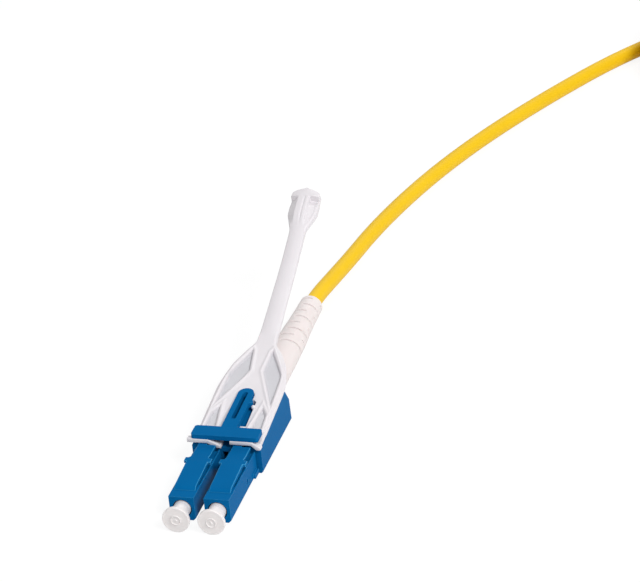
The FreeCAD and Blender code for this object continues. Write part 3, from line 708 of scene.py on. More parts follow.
# ---------------------------------------------------------------- dust caps
@dataclass(frozen=True)
class CapShape:
    """Measures of a dust cap in millimetres; lengths run back from its raised ring.

    Args:
        face_r: radius of the face.
        flange: thickness of the face's disc.
        stem_r: radius of the stem behind it.
        bore_r: radius of the bore, which is open at the back.
        bore_front: where the bore starts, behind the face.
        ring_r: outer radius of the raised ring.
        ring: its width.
        slant: how far its sides lean.
        proud: its height over the face.
        button_r: radius of the raised button's top.
        button_foot_r: radius of its foot.
        button_sink: how far it stays below the ring.
        dish: depth of the face's hollow.
        dish_start: from the ring to the hollow.
        rim: width of the face's rim.
        rim_slope: width of the slope inside the rim.
        rim_fall: fall of the rim to its edge.
        fillet: of the stem's foot.
        neck: length of that fillet.
    """

    face_r: float = 2.4
    flange: float = 0.75
    stem_r: float = 1.5
    bore_r: float = 0.95
    bore_front: float = 1.67
    ring_r: float = 0.95
    ring: float = 0.22
    slant: float = 0.05
    proud: float = 0.12
    button_r: float = 0.176
    button_foot_r: float = 0.264
    button_sink: float = 0.01
    dish: float = 0.04
    dish_start: float = 0.5
    rim: float = 0.2
    rim_slope: float = 0.15
    rim_fall: float = 0.02
    fillet: float = 0.12
    neck: float = 0.5

    def section(self, depth: float) -> list[tuple[float, float, float]]:
        """Corners of the turned section.

        Args:
            depth: the cap's whole length.

        Returns:
            Radius, back and corner rounding of each.
        """
        face, back = self.proud, self.proud + self.flange
        bore, hollow = self.proud + self.bore_front, self.proud + self.dish
        inner = self.ring_r - self.ring
        return [
            (0.0, self.button_sink, 0), (self.button_r, self.button_sink, 0.06),
            (self.button_foot_r, face, 0.05),
            (inner, face, 0.05), (inner + self.slant, 0.0, 0.05),
            (self.ring_r - self.slant, 0.0, 0.05), (self.ring_r, face, 0.05),
            (self.ring_r + self.dish_start, hollow, 0.2),
            (self.face_r - self.rim - self.rim_slope, hollow, 0.15),
            (self.face_r - self.rim, face, 0.1), (self.face_r, face + self.rim_fall, 0.16),
            (self.face_r, back, 0.22), (self.stem_r + self.fillet, back, 0.18),
            (self.stem_r, back + self.neck, 0.2), (self.stem_r, depth, 0.15),
            (self.bore_r, depth, 0.1), (self.bore_r, bore, 0.1), (0.0, bore, 0),
        ]


@dataclass
class CapMaker:
    """Turns the two dust caps, with a raised ring and button on each face.

    Args:
        shop: where the finish comes from.
        shape: the caps' measures.
    """

    shop: FinishShop
    shape: CapShape = CapShape()

    def make(self, node: str, body: str) -> bpy.types.Object:
        """Cap that replaces a CAD node.

        Args:
            node: the CAD node it stands for.
            body: the body it rides on.

        Returns:
            The cap.
        """
        low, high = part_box(node)
        centre = Vector(((low.x + high.x) / 2, low.y, (low.z + high.z) / 2))
        depth = (high.y - low.y) / MM
        profile = [(r * MM, y * MM) for r, y in rounded(self.shape.section(depth))]
        cap = new_piece(node + "_turned", lathe(node, profile, centre), self.shop.get(Slot.CAP))
        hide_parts(node)
        log.info("%s: face %.1f mm across, %.1f mm long", cap.name, 2 * self.shape.face_r, depth)
        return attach(cap, body)


# ---------------------------------------------------------------- pull tab
class Datum:
    """Point on the front face of the plugs, midway between their axes."""

    def __init__(self) -> None:
        """Finds the point from the left plug and its ferrule."""
        low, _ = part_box("plug_body_left")
        tip_low, tip_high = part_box("ferrule_left")
        self.origin = Vector((0.0, low.y, (tip_low.z + tip_high.z) / 2))

    def at(self, right: float, back: float, up: float) -> Vector:
        """Point given in millimetres from the datum.

        Args:
            right: to the right, seen from the front.
            back: towards the cable.
            up: above the plugs' axes.

        Returns:
            The point in metres.
        """
        return self.origin + Vector((right, back, up)) * MM


@dataclass(frozen=True)
class GripShape:
    """Measures of the thumb grip in millimetres; places along it count from its start.

    Args:
        length: of the whole grip.
        sides: place along it and half width.
        rise: of its upper surface over the strip.
        under: of its lower surface under the strip.
        flare: length over which it rises.
        head: length of the smooth head behind the hollow.
        head_wall: length of the hollow's back wall.
        hollow_start: where the hollow starts.
        hollow_run: length over which it reaches its depth.
        left_rib: place of the rib to the left of the middle.
        left_slope: fall from that rib to the left side.
        right_rib: place of the rib to the right.
        right_step: fall just past that rib.
        right_step_run: width of that fall.
        right_slope: further fall to the right side.
        lip: rise of the lip at the right side.
        lip_width: its width.
        lip_run: width of its inner slope.
        dip: further fall on the right, near the head.
        dip_length: its length.
        dip_run: length over which it reaches its depth.
        groove: depth of the groove between the ribs.
        groove_at: its place.
        groove_half: its half width.
        crown: fall of the head towards its sides.
        crown_run: length over which the head is crowned.
        nose: fall at the far end.
        nose_run: length of that fall.
    """

    length: float = 9.3
    sides: tuple[Spot, ...] = (
        (-1.0, 1.51), (0.0, 1.56), (1.0, 1.86), (3.2, 2.63), (4.2, 2.85), (5.5, 2.85),
        (7.0, 2.73), (8.2, 2.63), (8.5, 2.45), (8.9, 1.7), (9.3, 0.55),
    )
    rise: float = 0.7
    under: float = 0.15
    flare: float = 3.4
    head: float = 2.2
    head_wall: float = 0.3
    hollow_start: float = 0.6
    hollow_run: float = 2.2
    left_rib: float = 1.1
    left_slope: float = 1.3
    right_rib: float = 0.75
    right_step: float = 0.45
    right_step_run: float = 0.4
    right_slope: float = 0.4
    lip: float = 0.16
    lip_width: float = 0.75
    lip_run: float = 0.5
    dip: float = 0.6
    dip_length: float = 1.9
    dip_run: float = 1.8
    groove: float = 0.13
    groove_at: float = 0.1
    groove_half: float = 0.16
    crown: float = 0.12
    crown_run: float = 0.5
    nose: float = 0.12
    nose_run: float = 0.4

    def height(self, right: float, half: float, along: float) -> float:
        """Height of the upper surface over the strip's line.

        Args:
            right: place across the grip.
            half: half width there.
            along: place along it.

        Returns:
            The height.
        """
        rise = self.rise * smooth(along / self.flare)
        stop = self.length - self.head
        body = (smooth((along - self.hollow_start) / self.hollow_run)
                * (1.0 - smooth((along - stop) / self.head_wall)))
        if right < 0.0:
            reach = max(0.0, (-right - self.left_rib) / (half - self.left_rib))
            fall = self.left_slope * reach
        else:
            past = smooth((right - self.right_rib) / self.right_step_run)
            fall = self.right_step * past
            fall += self.right_slope * max(0.0, right - self.right_rib) / half
            fall -= self.lip * smooth((right - half + self.lip_width) / self.lip_run)
            fall += self.dip * past * smooth((along - stop + self.dip_length) / self.dip_run)
        groove = self.groove * math.exp(-((right - self.groove_at) / self.groove_half) ** 2)
        dome = self.crown * smooth((along - stop) / self.crown_run) * (right / half) ** 2
        nose = self.nose * smooth((along - self.length + self.nose_run) / self.nose_run) ** 2
        return rise - body * (fall + groove) - dome - nose


@dataclass(frozen=True)
class TabShape:
    """Measures of the pull tab in millimetres.

    Lengths along the tab count from the datum, heights from the plugs' axes.

    Args:
        start: front edge of the web.
        ramp: where the web turns up into the ramp.
        knee: where the ramp turns into the strip.
        strip_end: where the strip turns into the grip.
        web_front_top: height of the web's front edge.
        web_rear_top: height at the ramp's foot.
        knee_top: height at the knee.
        strip_top: height at the strip's end.
        sides: place along the web, ramp and strip, and half width.
        web_thick: thickness of the web.
        strip_thick: thickness of the strip.
        thicken_run: length over which one turns into the other.
        flange: width of the thin flange along the web's sides.
        flange_land: width of its flat part.
        flange_thick: its thickness.
        fade_start: where it starts to fade, past the ramp's foot.
        kites: right and back of the thin places' corners, on the right side.
        recess: their depth.
        wall: width of their sloping sides.
        rib: height of the rib round them.
        rib_away: its distance from them.
        rib_half: its half width.
        crown: fall of the strip towards its sides.
        crown_run: length over which it sets in, behind the knee.
        edge: rounding of the long edges.
        lean: how far the grip lies to the left.
        lean_start: where it starts to, counted from the grip.
        lean_run: length over which it does.
        slot_half: half width of the window for the trigger clip's stem.
        slot_front: its front end.
        slot_end: where its round end starts.
        notch_left: left side of the wider part of the window.
        notch_right: its right side.
        notch_end: its back end.
        notch_corner: size of its cut corner.
        window_height: lowest and highest place that the window is cut from.
        left_foot: right and up of the left foot's corners.
        right_foot: right and up of the right foot's corners.
        foot_thick: from its front to its back.
        foot_rounding: of its edges.
        rails: outer sides of the two rails from the feet to the web.
        rail_wide: their width.
        rail_sink: how far their tops lie below the web's.
        rail_rounding: of their long edges.
        rail_front: how far behind the feet's front they start.
        rail_bite: how far they reach into the web.
        catch: right, back and up of the stud beside the stem's barb.
        catch_r: its radius.
    """

    start: float = 19.5
    ramp: float = 34.5
    knee: float = 43.2
    strip_end: float = 67.5
    web_front_top: float = 3.64
    web_rear_top: float = 5.693
    knee_top: float = 8.253
    strip_top: float = 17.852
    sides: tuple[Spot, ...] = (
        (19.5, 6.2), (30.5, 6.2), (32.2, 6.15), (37.4, 5.05), (40.5, 3.48), (43.2, 1.76),
        (44.8, 1.70), (66.5, 1.5),
    )
    web_thick: float = 0.8
    strip_thick: float = 1.1
    thicken_run: float = 8.0
    flange: float = 0.8
    flange_land: float = 0.12
    flange_thick: float = 0.24
    fade_start: float = 5.0
    kites: tuple[tuple[Spot, ...], ...] = (
        ((5.15, 26.6), (4.85, 35.4), (1.92, 41.0), (1.67, 40.6), (1.17, 36.1)),
        ((5.2, 20.6), (5.0, 24.6), (3.8, 26.6), (3.1, 20.6)),
    )
    recess: float = 0.52
    wall: float = 0.3
    rib: float = 0.16
    rib_away: float = 0.32
    rib_half: float = 0.26
    crown: float = 0.3
    crown_run: float = 3.0
    edge: float = 0.3
    lean: float = 0.34
    lean_start: float = -12.0
    lean_run: float = 20.0
    slot_half: float = 1.5
    slot_front: float = 21.0
    slot_end: float = 29.4
    notch_left: float = -1.75
    notch_right: float = 2.3
    notch_end: float = 28.28
    notch_corner: float = 0.5
    window_height: Spot = (0.0, 9.0)
    left_foot: tuple[Spot, ...] = (
        (-6.8, 4.08), (-2.95, 4.08), (-0.75, 3.0), (-0.75, 2.49), (-1.45, 2.49), (-3.2, 3.33),
        (-6.8, 3.33),
    )
    right_foot: tuple[Spot, ...] = (
        (0.9, 4.05), (4.9, 4.05), (6.15, 3.2), (6.45, 2.95), (6.45, 2.6), (5.5, 2.6),
        (4.75, 3.35), (0.9, 3.35),
    )
    foot_thick: float = 1.1
    foot_rounding: float = 0.13
    rails: tuple[float, float] = (-0.75, 6.2)
    rail_wide: float = 0.7
    rail_sink: float = 0.05
    rail_rounding: float = 0.12
    rail_front: float = 0.3
    rail_bite: float = 0.4
    catch: tuple[float, float, float] = (2.2, 26.3, 4.55)
    catch_r: float = 0.42


@dataclass
class PullTabMaker:
    """Moulds the pull tab: a web with thin kites, a ramp, a long strip and a thumb grip.

    Args:
        shop: where the finish comes from.
        datum: where its measures count from.
        shape: the measures of its web, ramp and strip.
        grip: the measures of its grip.
        step: length of a row of faces.
        columns: faces across.
        bend: length on each side of a bend over which it is spread.
        sharp_deg: edges sharper than this stay sharp in the shading.
    """

    shop: FinishShop
    datum: Datum
    shape: TabShape = TabShape()
    grip: GripShape = GripShape()
    step: float = 0.16
    columns: int = 120
    bend: float = 0.9
    sharp_deg: float = 38.0

    # The side line ------------------------------------------------
    def side_line(self) -> list[Spot]:
        """Corners of the tab's upper side line.

        Returns:
            Back and up of each corner.
        """
        s = self.shape
        run, rise = s.strip_end - s.knee, s.strip_top - s.knee_top
        share = self.grip.length / math.hypot(run, rise)
        return [(s.start, s.web_front_top), (s.ramp, s.web_rear_top), (s.knee, s.knee_top),
                (s.strip_end, s.strip_top),
                (s.strip_end + run * share, s.strip_top + rise * share)]

    def stations(self) -> list[tuple[float, Vector, Vector]]:
        """Stations along the side line.

        Returns:
            Travel, point and normal of each, the last two as back and up.
        """
        corners = [Vector(corner) for corner in self.side_line()]
        marks = [0.0]
        for one, two in zip(corners, corners[1:]):
            marks.append(marks[-1] + (two - one).length)
        count = round(marks[-1] / self.step)
        return [(marks[-1] * i / count, *self._on_line(corners, marks, marks[-1] * i / count))
                for i in range(count + 1)]

    def _on_line(self, corners: list[Vector], marks: list[float],
                 travel: float) -> tuple[Vector, Vector]:
        """Place on the side line, with its bends spread over a short length.

        Args:
            corners: the line's corners.
            marks: the travel at each.
            travel: the travel asked for.

        Returns:
            Point and normal, as back and up.
        """
        def point_at(at: float) -> Vector:
            """Point of the line with its bends left sharp.

            Args:
                at: the travel there.

            Returns:
                The point.
            """
            at = min(max(at, marks[0]), marks[-1])
            for index in range(len(marks) - 1):
                if at <= marks[index + 1] or index == len(marks) - 2:
                    share = (at - marks[index]) / (marks[index + 1] - marks[index])
                    return corners[index].lerp(corners[index + 1], share)
            return corners[-1]

        reach = min(self.bend, travel - marks[0], marks[-1] - travel)
        point = (point_at(travel - reach) + point_at(travel) * 2 + point_at(travel + reach)) / 4
        along = (point_at(travel + self.bend) - point_at(travel - self.bend)).normalized()
        return point, Vector((-along.y, along.x))

    # The outline and the relief -------------------------------------
    def half_width(self, back: float, along_grip: float) -> float:
        """Half the tab's width.

        Args:
            back: place along the tab.
            along_grip: length past the strip's end.

        Returns:
            The half width.
        """
        if along_grip > self.grip.sides[0][0]:
            return spline_through(self.grip.sides, along_grip)
        return spline_through(self.shape.sides, back)

    def depth_inside(self, right: float, back: float) -> float:
        """Distance inside the nearest thin place, negative outside.

        Args:
            right: place across the tab.
            back: place along it.

        Returns:
            The distance.
        """
        return max(inside_distance(kite, abs(right), back) for kite in self.shape.kites)

    def relief(self, right: float, back: float, half: float, along_grip: float) -> float:
        """Height of the upper surface over the side line.

        Args:
            right: place across the tab.
            back: place along it.
            half: half width there.
            along_grip: length past the strip's end.

        Returns:
            The height.
        """
        s = self.shape
        inset = half - abs(right)
        if back < s.knee:
            inside = self.depth_inside(right, back)
            height = -s.recess * smooth(inside / s.wall)
            height += s.rib * math.exp(-((inside + s.rib_away) / s.rib_half) ** 2)
            fade_from = s.ramp + s.fade_start
            fade = 1.0 - smooth((back - fade_from) / (s.knee - fade_from))
            drop = (s.web_thick - s.flange_thick) * fade
            height -= drop * smooth((s.flange - inset) / (s.flange - s.flange_land))
            return height - (1.0 - fade) * self._edge_fall(inset)
        crown = s.crown * smooth((back - s.knee) / s.crown_run) * (right / half) ** 2
        grip = 0.0 if along_grip < 0.0 else self.grip.height(right, half, along_grip)
        return grip - crown - self._edge_fall(inset)

    def _edge_fall(self, inset: float) -> float:
        """Fall of the rounded long edges.

        Args:
            inset: distance from the tab's side.

        Returns:
            The fall.
        """
        edge = self.shape.edge
        if inset >= edge:
            return 0.0
        return edge - math.sqrt(max(0.0, edge ** 2 - (edge - inset) ** 2))

    def _under(self, back: float, along_grip: float) -> float:
        """Depth of the lower surface under the side line.

        Args:
            back: place along the tab.
            along_grip: length past the strip's end.

        Returns:
            The depth.
        """
        s = self.shape
        thicken = smooth((back - s.ramp) / s.thicken_run)
        thick = s.web_thick + (s.strip_thick - s.web_thick) * thicken
        return thick + self.grip.under * smooth(along_grip / self.grip.flare)

    # The solid --------------------------------------------------------
    def plate(self) -> bpy.types.Mesh:
        """Plate from the web's front edge to the grip's end.

        Returns:
            A closed mesh.
        """
        s = self.shape
        bm = bmesh.new()
        rows, floors = [], []
        spread = [math.sin(math.pi / 2 * (2 * i / self.columns - 1))
                  for i in range(self.columns + 1)]
        stations = self.stations()
        grip_start = stations[-1][0] - self.grip.length
        for travel, point, normal in stations:
            along = travel - grip_start
            half = self.half_width(point.x, along)
            lean = s.lean * smooth((along - s.lean_start) / s.lean_run)
            row = []
            for share in spread:
                right = share * half
                place = point + normal * self.relief(right, point.x, half, along)
                row.append(bm.verts.new(self.datum.at(right - lean, place.x, place.y)))
            under = point - normal * self._under(point.x, along)
            rows.append(row)
            floors.append([bm.verts.new(self.datum.at(side * half - lean, under.x, under.y))
                           for side in (-1, 1)])
        for one, two, low, next_low in zip(rows, rows[1:], floors, floors[1:]):
            for i in range(self.columns):
                bm.faces.new((one[i], one[i + 1], two[i + 1], two[i]))
            bm.faces.new((low[0], next_low[0], next_low[1], low[1]))
            bm.faces.new((one[0], two[0], next_low[0], low[0]))
            bm.faces.new((one[-1], low[1], next_low[1], two[-1]))
        bm.faces.new((*reversed(rows[0]), *floors[0]))
        bm.faces.new((*rows[-1], *reversed(floors[-1])))
        return finished(bm, "plate")

    def feet(self) -> list[bpy.types.Mesh]:
        """The two front feet and the two rails that join them to the web.

        Returns:
            Closed meshes.
        """
        s = self.shape
        low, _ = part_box("pull_tab")
        front = (low.y - self.datum.origin.y) / MM
        meshes = [prism(self.datum, outline, front, front + s.foot_thick, s.foot_rounding)
                  for outline in (s.left_foot, s.right_foot)]
        for outer in s.rails:
            meshes.append(self._rail(outer - s.rail_wide, outer, front + s.rail_front))
        return meshes

    def _rail(self, inner: float, outer: float, front: float) -> bpy.types.Mesh:
        """Low rail from a foot to the web.

        Args:
            inner: its inner side.
            outer: its outer side.
            front: its front end.

        Returns:
            A closed mesh.
        """
        s = self.shape
        slope = (s.web_rear_top - s.web_front_top) / (s.ramp - s.start)
        bm = bmesh.new()
        ends = []
        for back in (front, s.start + s.rail_bite):
            top = s.web_front_top + slope * (back - s.start)
            low, high = top - s.web_thick, top - s.rail_sink
            ends.append([bm.verts.new(self.datum.at(x, back, z)) for x, z in
                         ((inner, low), (outer, low), (outer, high), (inner, high))])
        skin(bm, ends)
        long_edges = [e for e in bm.edges if abs((e.verts[0].co - e.verts[1].co).y) > MM]
        round_edges(bm, long_edges, s.rail_rounding)
        return finished(bm, "rail")

    def window(self) -> list[bpy.types.Mesh]:
        """Bodies cut out round the trigger clip's stem.

        Returns:
            Closed meshes.
        """
        s = self.shape
        arc = [(s.slot_half * math.cos(math.radians(a)),
                s.slot_end + s.slot_half * math.sin(math.radians(a))) for a in range(0, 181, 6)]
        stem = ((-s.slot_half, s.slot_front), (s.slot_half, s.slot_front), *arc)
        notch = ((s.notch_left, s.slot_front), (s.notch_right, s.slot_front),
                 (s.notch_right, s.notch_end - s.notch_corner),
                 (s.notch_right - s.notch_corner, s.notch_end), (s.notch_left, s.notch_end))
        return [upright(self.datum, outline, *s.window_height) for outline in (stem, notch)]

    def catch(self) -> bpy.types.Mesh:
        """Small rounded stud beside the stem's barb.

        Returns:
            A closed mesh.
        """
        s = self.shape
        bm = bmesh.new()
        bmesh.ops.create_uvsphere(bm, u_segments=24, v_segments=16, radius=s.catch_r * MM)
        for vert in bm.verts:
            vert.co += self.datum.at(*s.catch)
        return finished(bm, "catch")

    def make(self) -> bpy.types.Object:
        """Joins the plate, the feet and the rails, and cuts the window.

        Returns:
            The tab.
        """
        joined = combine(self.plate(), [(cut, "DIFFERENCE") for cut in self.window()]
                         + [(foot, "UNION") for foot in self.feet()]
                         + [(self.catch(), "UNION")])
        joined.name = "pull_tab_moulded"
        tab = new_piece("pull_tab_moulded", joined, self.shop.get(Slot.TAB))
        # Paints shade on the recessed thin places through a mask attribute.
        self._mark_recesses(tab)
        tab.data.set_sharp_from_angle(angle=math.radians(self.sharp_deg))
        log.info("%s: %d faces, grip %.1f mm long", tab.name, len(tab.data.polygons),
                 self.grip.length)
        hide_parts("pull_tab")
        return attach(tab, "tab")

    def _mark_recesses(self, tab: bpy.types.Object) -> None:
        """Writes the mask of the tab's recessed thin places to the mesh, where the finish paints
        shade.

        Args:
            tab: the joined tab.
        """
        recess_shade = tab.data.attributes.new(PAINTED_SHADE_MASK, "FLOAT", "POINT")
        for vert, value in zip(tab.data.vertices, recess_shade.data):
            place = (vert.co - self.datum.origin) / MM
            if place.y < self.shape.knee:
                value.value = smooth(self.depth_inside(place.x, place.y) / self.shape.wall)


# ---------------------------------------------------------------- cable
@dataclass(frozen=True)
class CableRoute:
    """Route of the free cable, in millimetres.

    Args:
        points: right and back from the boot's end, and height of the axis above the floor;
            None keeps the exit's height.
        radius: the jacket's radius.
        columns: turns side by side in a layer of the coil.
        layers: layers on each other.
        pitch: distance between neighbouring turns.
        inner_r: axis radius of the innermost turn.
        per_turn: control points to a turn.
        shift: degrees of the turn that a change of radius or height takes.
        aside_from: degrees of the turn at which the first layer's turns move over.
        climb_from: degrees of the turn at which the first layer climbs to the next.
        layer_turn: degrees by which each layer's changes come earlier than the last one's.
        leave: degrees of the travel at which the top inner turn heads for the connector.
        last_rise: climb before it leaves.
        last_run: degrees of the travel that this climb takes.
        end: distance towards the connector and height of each point of the end; the height
            counts from the top turn's axis, or is None on the floor.
        tie_angle: where the tie is, in degrees from the right.
        tie_thick: thickness of its strap.
        tie_half: degrees on each side of the tie that lie fully on its strap.
        tie_run: degrees over which the turns come down beside it.
    """

    points: tuple[tuple[float, float, float | None], ...] = (
        (0.0, 0.0, None), (0.1, 3.5, None), (0.85, 10.5, 2.1), (2.0, 20.0, 1.6),
        (3.5, 31.5, 1.5), (6.2, 44.0, 1.5), (9.9, 57.0, 1.5), (14.5, 69.7, 1.5),
        (20.1, 82.5, 1.5), (26.6, 95.5, 1.5), (33.9, 108.8, 1.5), (42.2, 120.4, 1.5),
        (48.6, 126.8, 1.5),
    )
    radius: float = 1.5
    columns: int = 3
    layers: int = 3
    pitch: float = 3.1
    inner_r: float = 12.9
    per_turn: int = 18
    shift: float = 60.0
    aside_from: float = 300.0
    climb_from: float = 240.0
    layer_turn: float = 120.0
    leave: float = 2655.0
    last_rise: float = 1.0
    last_run: float = 40.0
    end: tuple[tuple[float, float | None], ...] = (
        (9.0, 3.1), (19.0, 3.1), (36.0, None), (46.0, None),
    )
    tie_angle: float = 60.0
    tie_thick: float = 0.5
    tie_half: float = 12.0
    tie_run: float = 22.0


@dataclass(frozen=True)
class CoilStep:
    """One change of radius or height along the wound turns.

    Args:
        start: degrees of the travel at which it starts.
        end: degrees at which it is done.
        radius: change of the turns' radius in millimetres.
        height: change of their height in millimetres.
    """

    start: float
    end: float
    radius: float
    height: float


@dataclass
class CableMaker:
    """Lays the yellow cable: the loose run, the stored coil and the cut end.

    Args:
        shop: where the finish comes from.
        route: where the cable lies.
        round_steps: steps round a quarter of the jacket, beyond its ends.
        span_steps: steps from one control point to the next.
        exit: where it leaves the boot, found when the maker is set up.
    """

    shop: FinishShop
    route: CableRoute = CableRoute()
    round_steps: int = 6
    span_steps: int = 8
    exit: Vector = field(init=False)

    def __post_init__(self) -> None:
        """Finds where the cable leaves the boot."""
        low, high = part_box("cable_in_boot")
        self.exit = Vector(((low.x + high.x) / 2, high.y, (low.z + high.z) / 2))

    def loose_points(self) -> list[Vector]:
        """Control points from the boot to the coil.

        Returns:
            Points in metres.
        """
        out = []
        for right, back, height in self.route.points:
            z = self.exit.z if height is None else height * MM
            out.append(Vector((self.exit.x + right * MM, self.exit.y + back * MM, z)))
        return out

    def winding_steps(self) -> list[CoilStep]:
        """Where the turns move over and where they climb.

        Each layer has its own part of the turn for moving over, and its own part for climbing
        to the next layer, so no turn passes through another.

        Returns:
            The steps in the order of the travel.
        """
        r = self.route
        steps: list[CoilStep] = []
        travel = 0.0
        for layer in range(r.layers):
            way = -r.pitch if layer % 2 == 0 else r.pitch
            aside = (r.aside_from - r.layer_turn * layer) % 360.0
            climb = (r.climb_from - r.layer_turn * layer) % 360.0
            for _ in range(r.columns - 1):
                travel += (aside - travel) % 360.0
                steps.append(CoilStep(travel, travel + r.shift, way, 0.0))
                travel += r.shift
            if layer < r.layers - 1:
                travel += (climb - travel) % 360.0
                steps.append(CoilStep(travel, travel + r.shift, 0.0, r.pitch))
                travel += r.shift
        return steps

    def coil_points(self, meeting: Vector, heading: Vector) -> list[Vector]:
        """Control points of the stored turns, from the meeting point on.

        The curve cuts its control points' corners, so they stand a little outside the axis.

        Args:
            meeting: where the loose cable reaches the outer turn.
            heading: the cable's direction there.

        Returns:
            Points in metres, the last one where the top inner turn leaves.
        """
        r = self.route
        outer = r.inner_r + (r.columns - 1) * r.pitch
        inward = Vector((heading.y, -heading.x, 0))
        centre = meeting + inward * outer * MM
        start = math.atan2(-inward.y, -inward.x)
        swell = 2.0 / (1.0 + math.cos(math.pi / r.per_turn))
        count = round(r.leave / 360.0 * r.per_turn)
        steps = self.winding_steps()
        out = []
        for index in range(1, count + 1):
            travel = r.leave * index / count
            radius, level = outer, r.radius
            for step in steps:
                share = smooth((travel - step.start) / (step.end - step.start))
                radius += step.radius * share
                level += step.height * share
            angle = start - math.radians(travel)
            level += self._over_tie(angle)
            level += r.last_rise * smooth((travel - r.leave + r.last_run) / r.last_run)
            spoke = Vector((math.cos(angle), math.sin(angle), 0)) * (radius * swell * MM)
            out.append(Vector((centre.x, centre.y, level * MM)) + spoke)
        return out

    def _over_tie(self, angle: float) -> float:
        """Lift over the tie's lower strap.

        Args:
            angle: place round the coil, in radians.

        Returns:
            The lift in millimetres.
        """
        r = self.route
        away = (math.degrees(angle) - r.tie_angle + 180.0) % 360.0 - 180.0
        return r.tie_thick * (1.0 - smooth((abs(away) - r.tie_half) / r.tie_run))

    def end_points(self, leaving: Vector) -> list[Vector]:
        """Control points from the coil's top over its outer turns and down to the floor.

        Args:
            leaving: where the top inner turn leaves.

        Returns:
            Points in metres.
        """
        r = self.route
        top = (r.radius + (r.layers - 1) * r.pitch) * MM
        out = []
        for away, rise in r.end:
            z = r.radius * MM if rise is None else top + rise * MM
            out.append(Vector((leaving.x, leaving.y - away * MM, z)))
        return out

    def make(self, yarn: bpy.types.Object) -> bpy.types.Object:
        """Args:
            yarn: the strands at its cut end; not used.

        Returns:
            The cable.
        """
        r = self.route
        points = self.loose_points()
        heading = (points[-1] - points[-2]).normalized()
        points += self.coil_points(points[-1], heading)
        points += self.end_points(points[-1])
        curve = bpy.data.curves.new("cable", "CURVE")
        curve.dimensions = "3D"
        curve.bevel_depth = r.radius * MM
        curve.bevel_resolution = self.round_steps
        curve.resolution_u = self.span_steps
        curve.use_fill_caps = True
        spline = curve.splines.new("NURBS")
        spline.points.add(len(points) - 1)
        for point, spot in zip(spline.points, points):
            point.co = (*spot, 1.0)
        spline.order_u = 3
        spline.use_endpoint_u = True
        curve.materials.append(self.shop.get(Slot.JACKET))
        cable = bpy.data.objects.new("cable", curve)
        bpy.context.scene.collection.objects.link(cable)
        log.info("%s: %d control points, %d turns side by side in %d layers", cable.name,
                 len(points), r.columns, r.layers)
        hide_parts("cable_tail", "cable_coil", "cable_end")
        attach(cable, "connector")
        return cable


@dataclass
class YarnMaker:
    """Frays the cut end's aramid yarn into single strands.

    Args:
        shop: where the finish comes from.
        strands: how many there are.
        rings: rings of corners along each.
        sides: corners in a ring.
        thick_mm: a strand's thickness.
        turn_deg: turn about the axis from one strand to the next.
        spread: least and most of a strand's end radius, as a share of its start's.
        reach: least and most of its length, as a share of the yarn's.
        wave: most that it waves to a side, in radians.
        taper: share of its thickness lost at the tip.
    """

    shop: FinishShop
    strands: int = 40
    rings: int = 6
    sides: int = 5
    thick_mm: float = 0.16
    turn_deg: float = 137.5
    spread: Spot = (0.8, 1.15)
    reach: Spot = (0.72, 0.97)
    wave: float = 0.35
    taper: float = 0.3

    def make(self, node: str) -> bpy.types.Object:
        """Bundle that replaces a CAD node.

        Args:
            node: the CAD node it stands for.

        Returns:
            The bundle.
        """
        low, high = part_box(node)
        centre = Vector(((low.x + high.x) / 2, high.y, (low.z + high.z) / 2))
        radius = (high.z - low.z) / 2 - self.thick_mm * MM
        bm = bmesh.new()
        for index in range(self.strands):
            turn = index * math.radians(self.turn_deg)
            start = radius * math.sqrt((index + 0.5) / self.strands)
            end = min(radius, start * random.uniform(*self.spread))
            length = (high.y - low.y) * random.uniform(*self.reach)
            self._strand(bm, centre, turn, (start, end), length)
        yarn = new_piece(node + "_strands", finished(bm, node), self.shop.get(Slot.YARN))
        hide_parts(node)
        log.info("%s: %d strands", yarn.name, self.strands)
        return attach(yarn, "connector")

    def _strand(self, bm: bmesh.types.BMesh, centre: Vector, turn: float, away: Spot,
                length: float) -> None:
        """Adds one closed strand that waves a little on its way out.

        Args:
            bm: the bundle's bmesh.
            centre: middle of the bundle where it starts.
            turn: its direction from there, in radians.
            away: its distance from the axis at its start and at its tip.
            length: its length.
        """
        wave = random.uniform(-self.wave, self.wave)
        rings = []
        for step in range(self.rings):
            share = step / (self.rings - 1)
            spot = centre + Vector((0.0, -length * share, 0.0))
            spot += self._spoke(away[0] + (away[1] - away[0]) * share,
                                turn + wave * math.sin(math.pi * share))
            girth = self.thick_mm * MM / 2 * (1.0 - self.taper * share)
            rings.append([bm.verts.new(spot + self._spoke(girth, math.tau * i / self.sides))
                          for i in range(self.sides)])
        skin(bm, rings)

    @staticmethod
    def _spoke(length: float, angle: float) -> Vector:
        """Vector square to the Y direction, of a length and an angle."""
        return Vector((length * math.cos(angle), 0.0, length * math.sin(angle)))


# ---------------------------------------------------------------- studio
@dataclass(frozen=True)
class CameraSpot:
    """Where the camera stands, in millimetres and degrees.

    Args:
        aim: point it looks at, counted from the plugs' front face.
        distance: from that point.
        azimuth: to the right of straight ahead.
        elevation: above the horizon.
        roll: turn about its own axis.
        lens: focal length on its sensor.
        sensor: width of the sensor.
        clip: nearest and furthest that it sees, in metres.
    """

    aim: tuple[float, float, float] = (17.153, 24.504, 32.018)
    distance: float = 591.4
    azimuth: float = 18.346
    elevation: float = 28.560
    roll: float = -5.998
    lens: float = 196.9
    sensor: float = 36.0
    clip: Spot = (0.01, 10.0)


@dataclass(frozen=True)
class Lamp:
    """A soft rectangular lamp aimed at the connector.

    Args:
        name: its name.
        place: where it stands, in metres.
        watts: its power.
        size: its side in metres.
    """

    name: str
    place: tuple[float, float, float]
    watts: float
    size: float


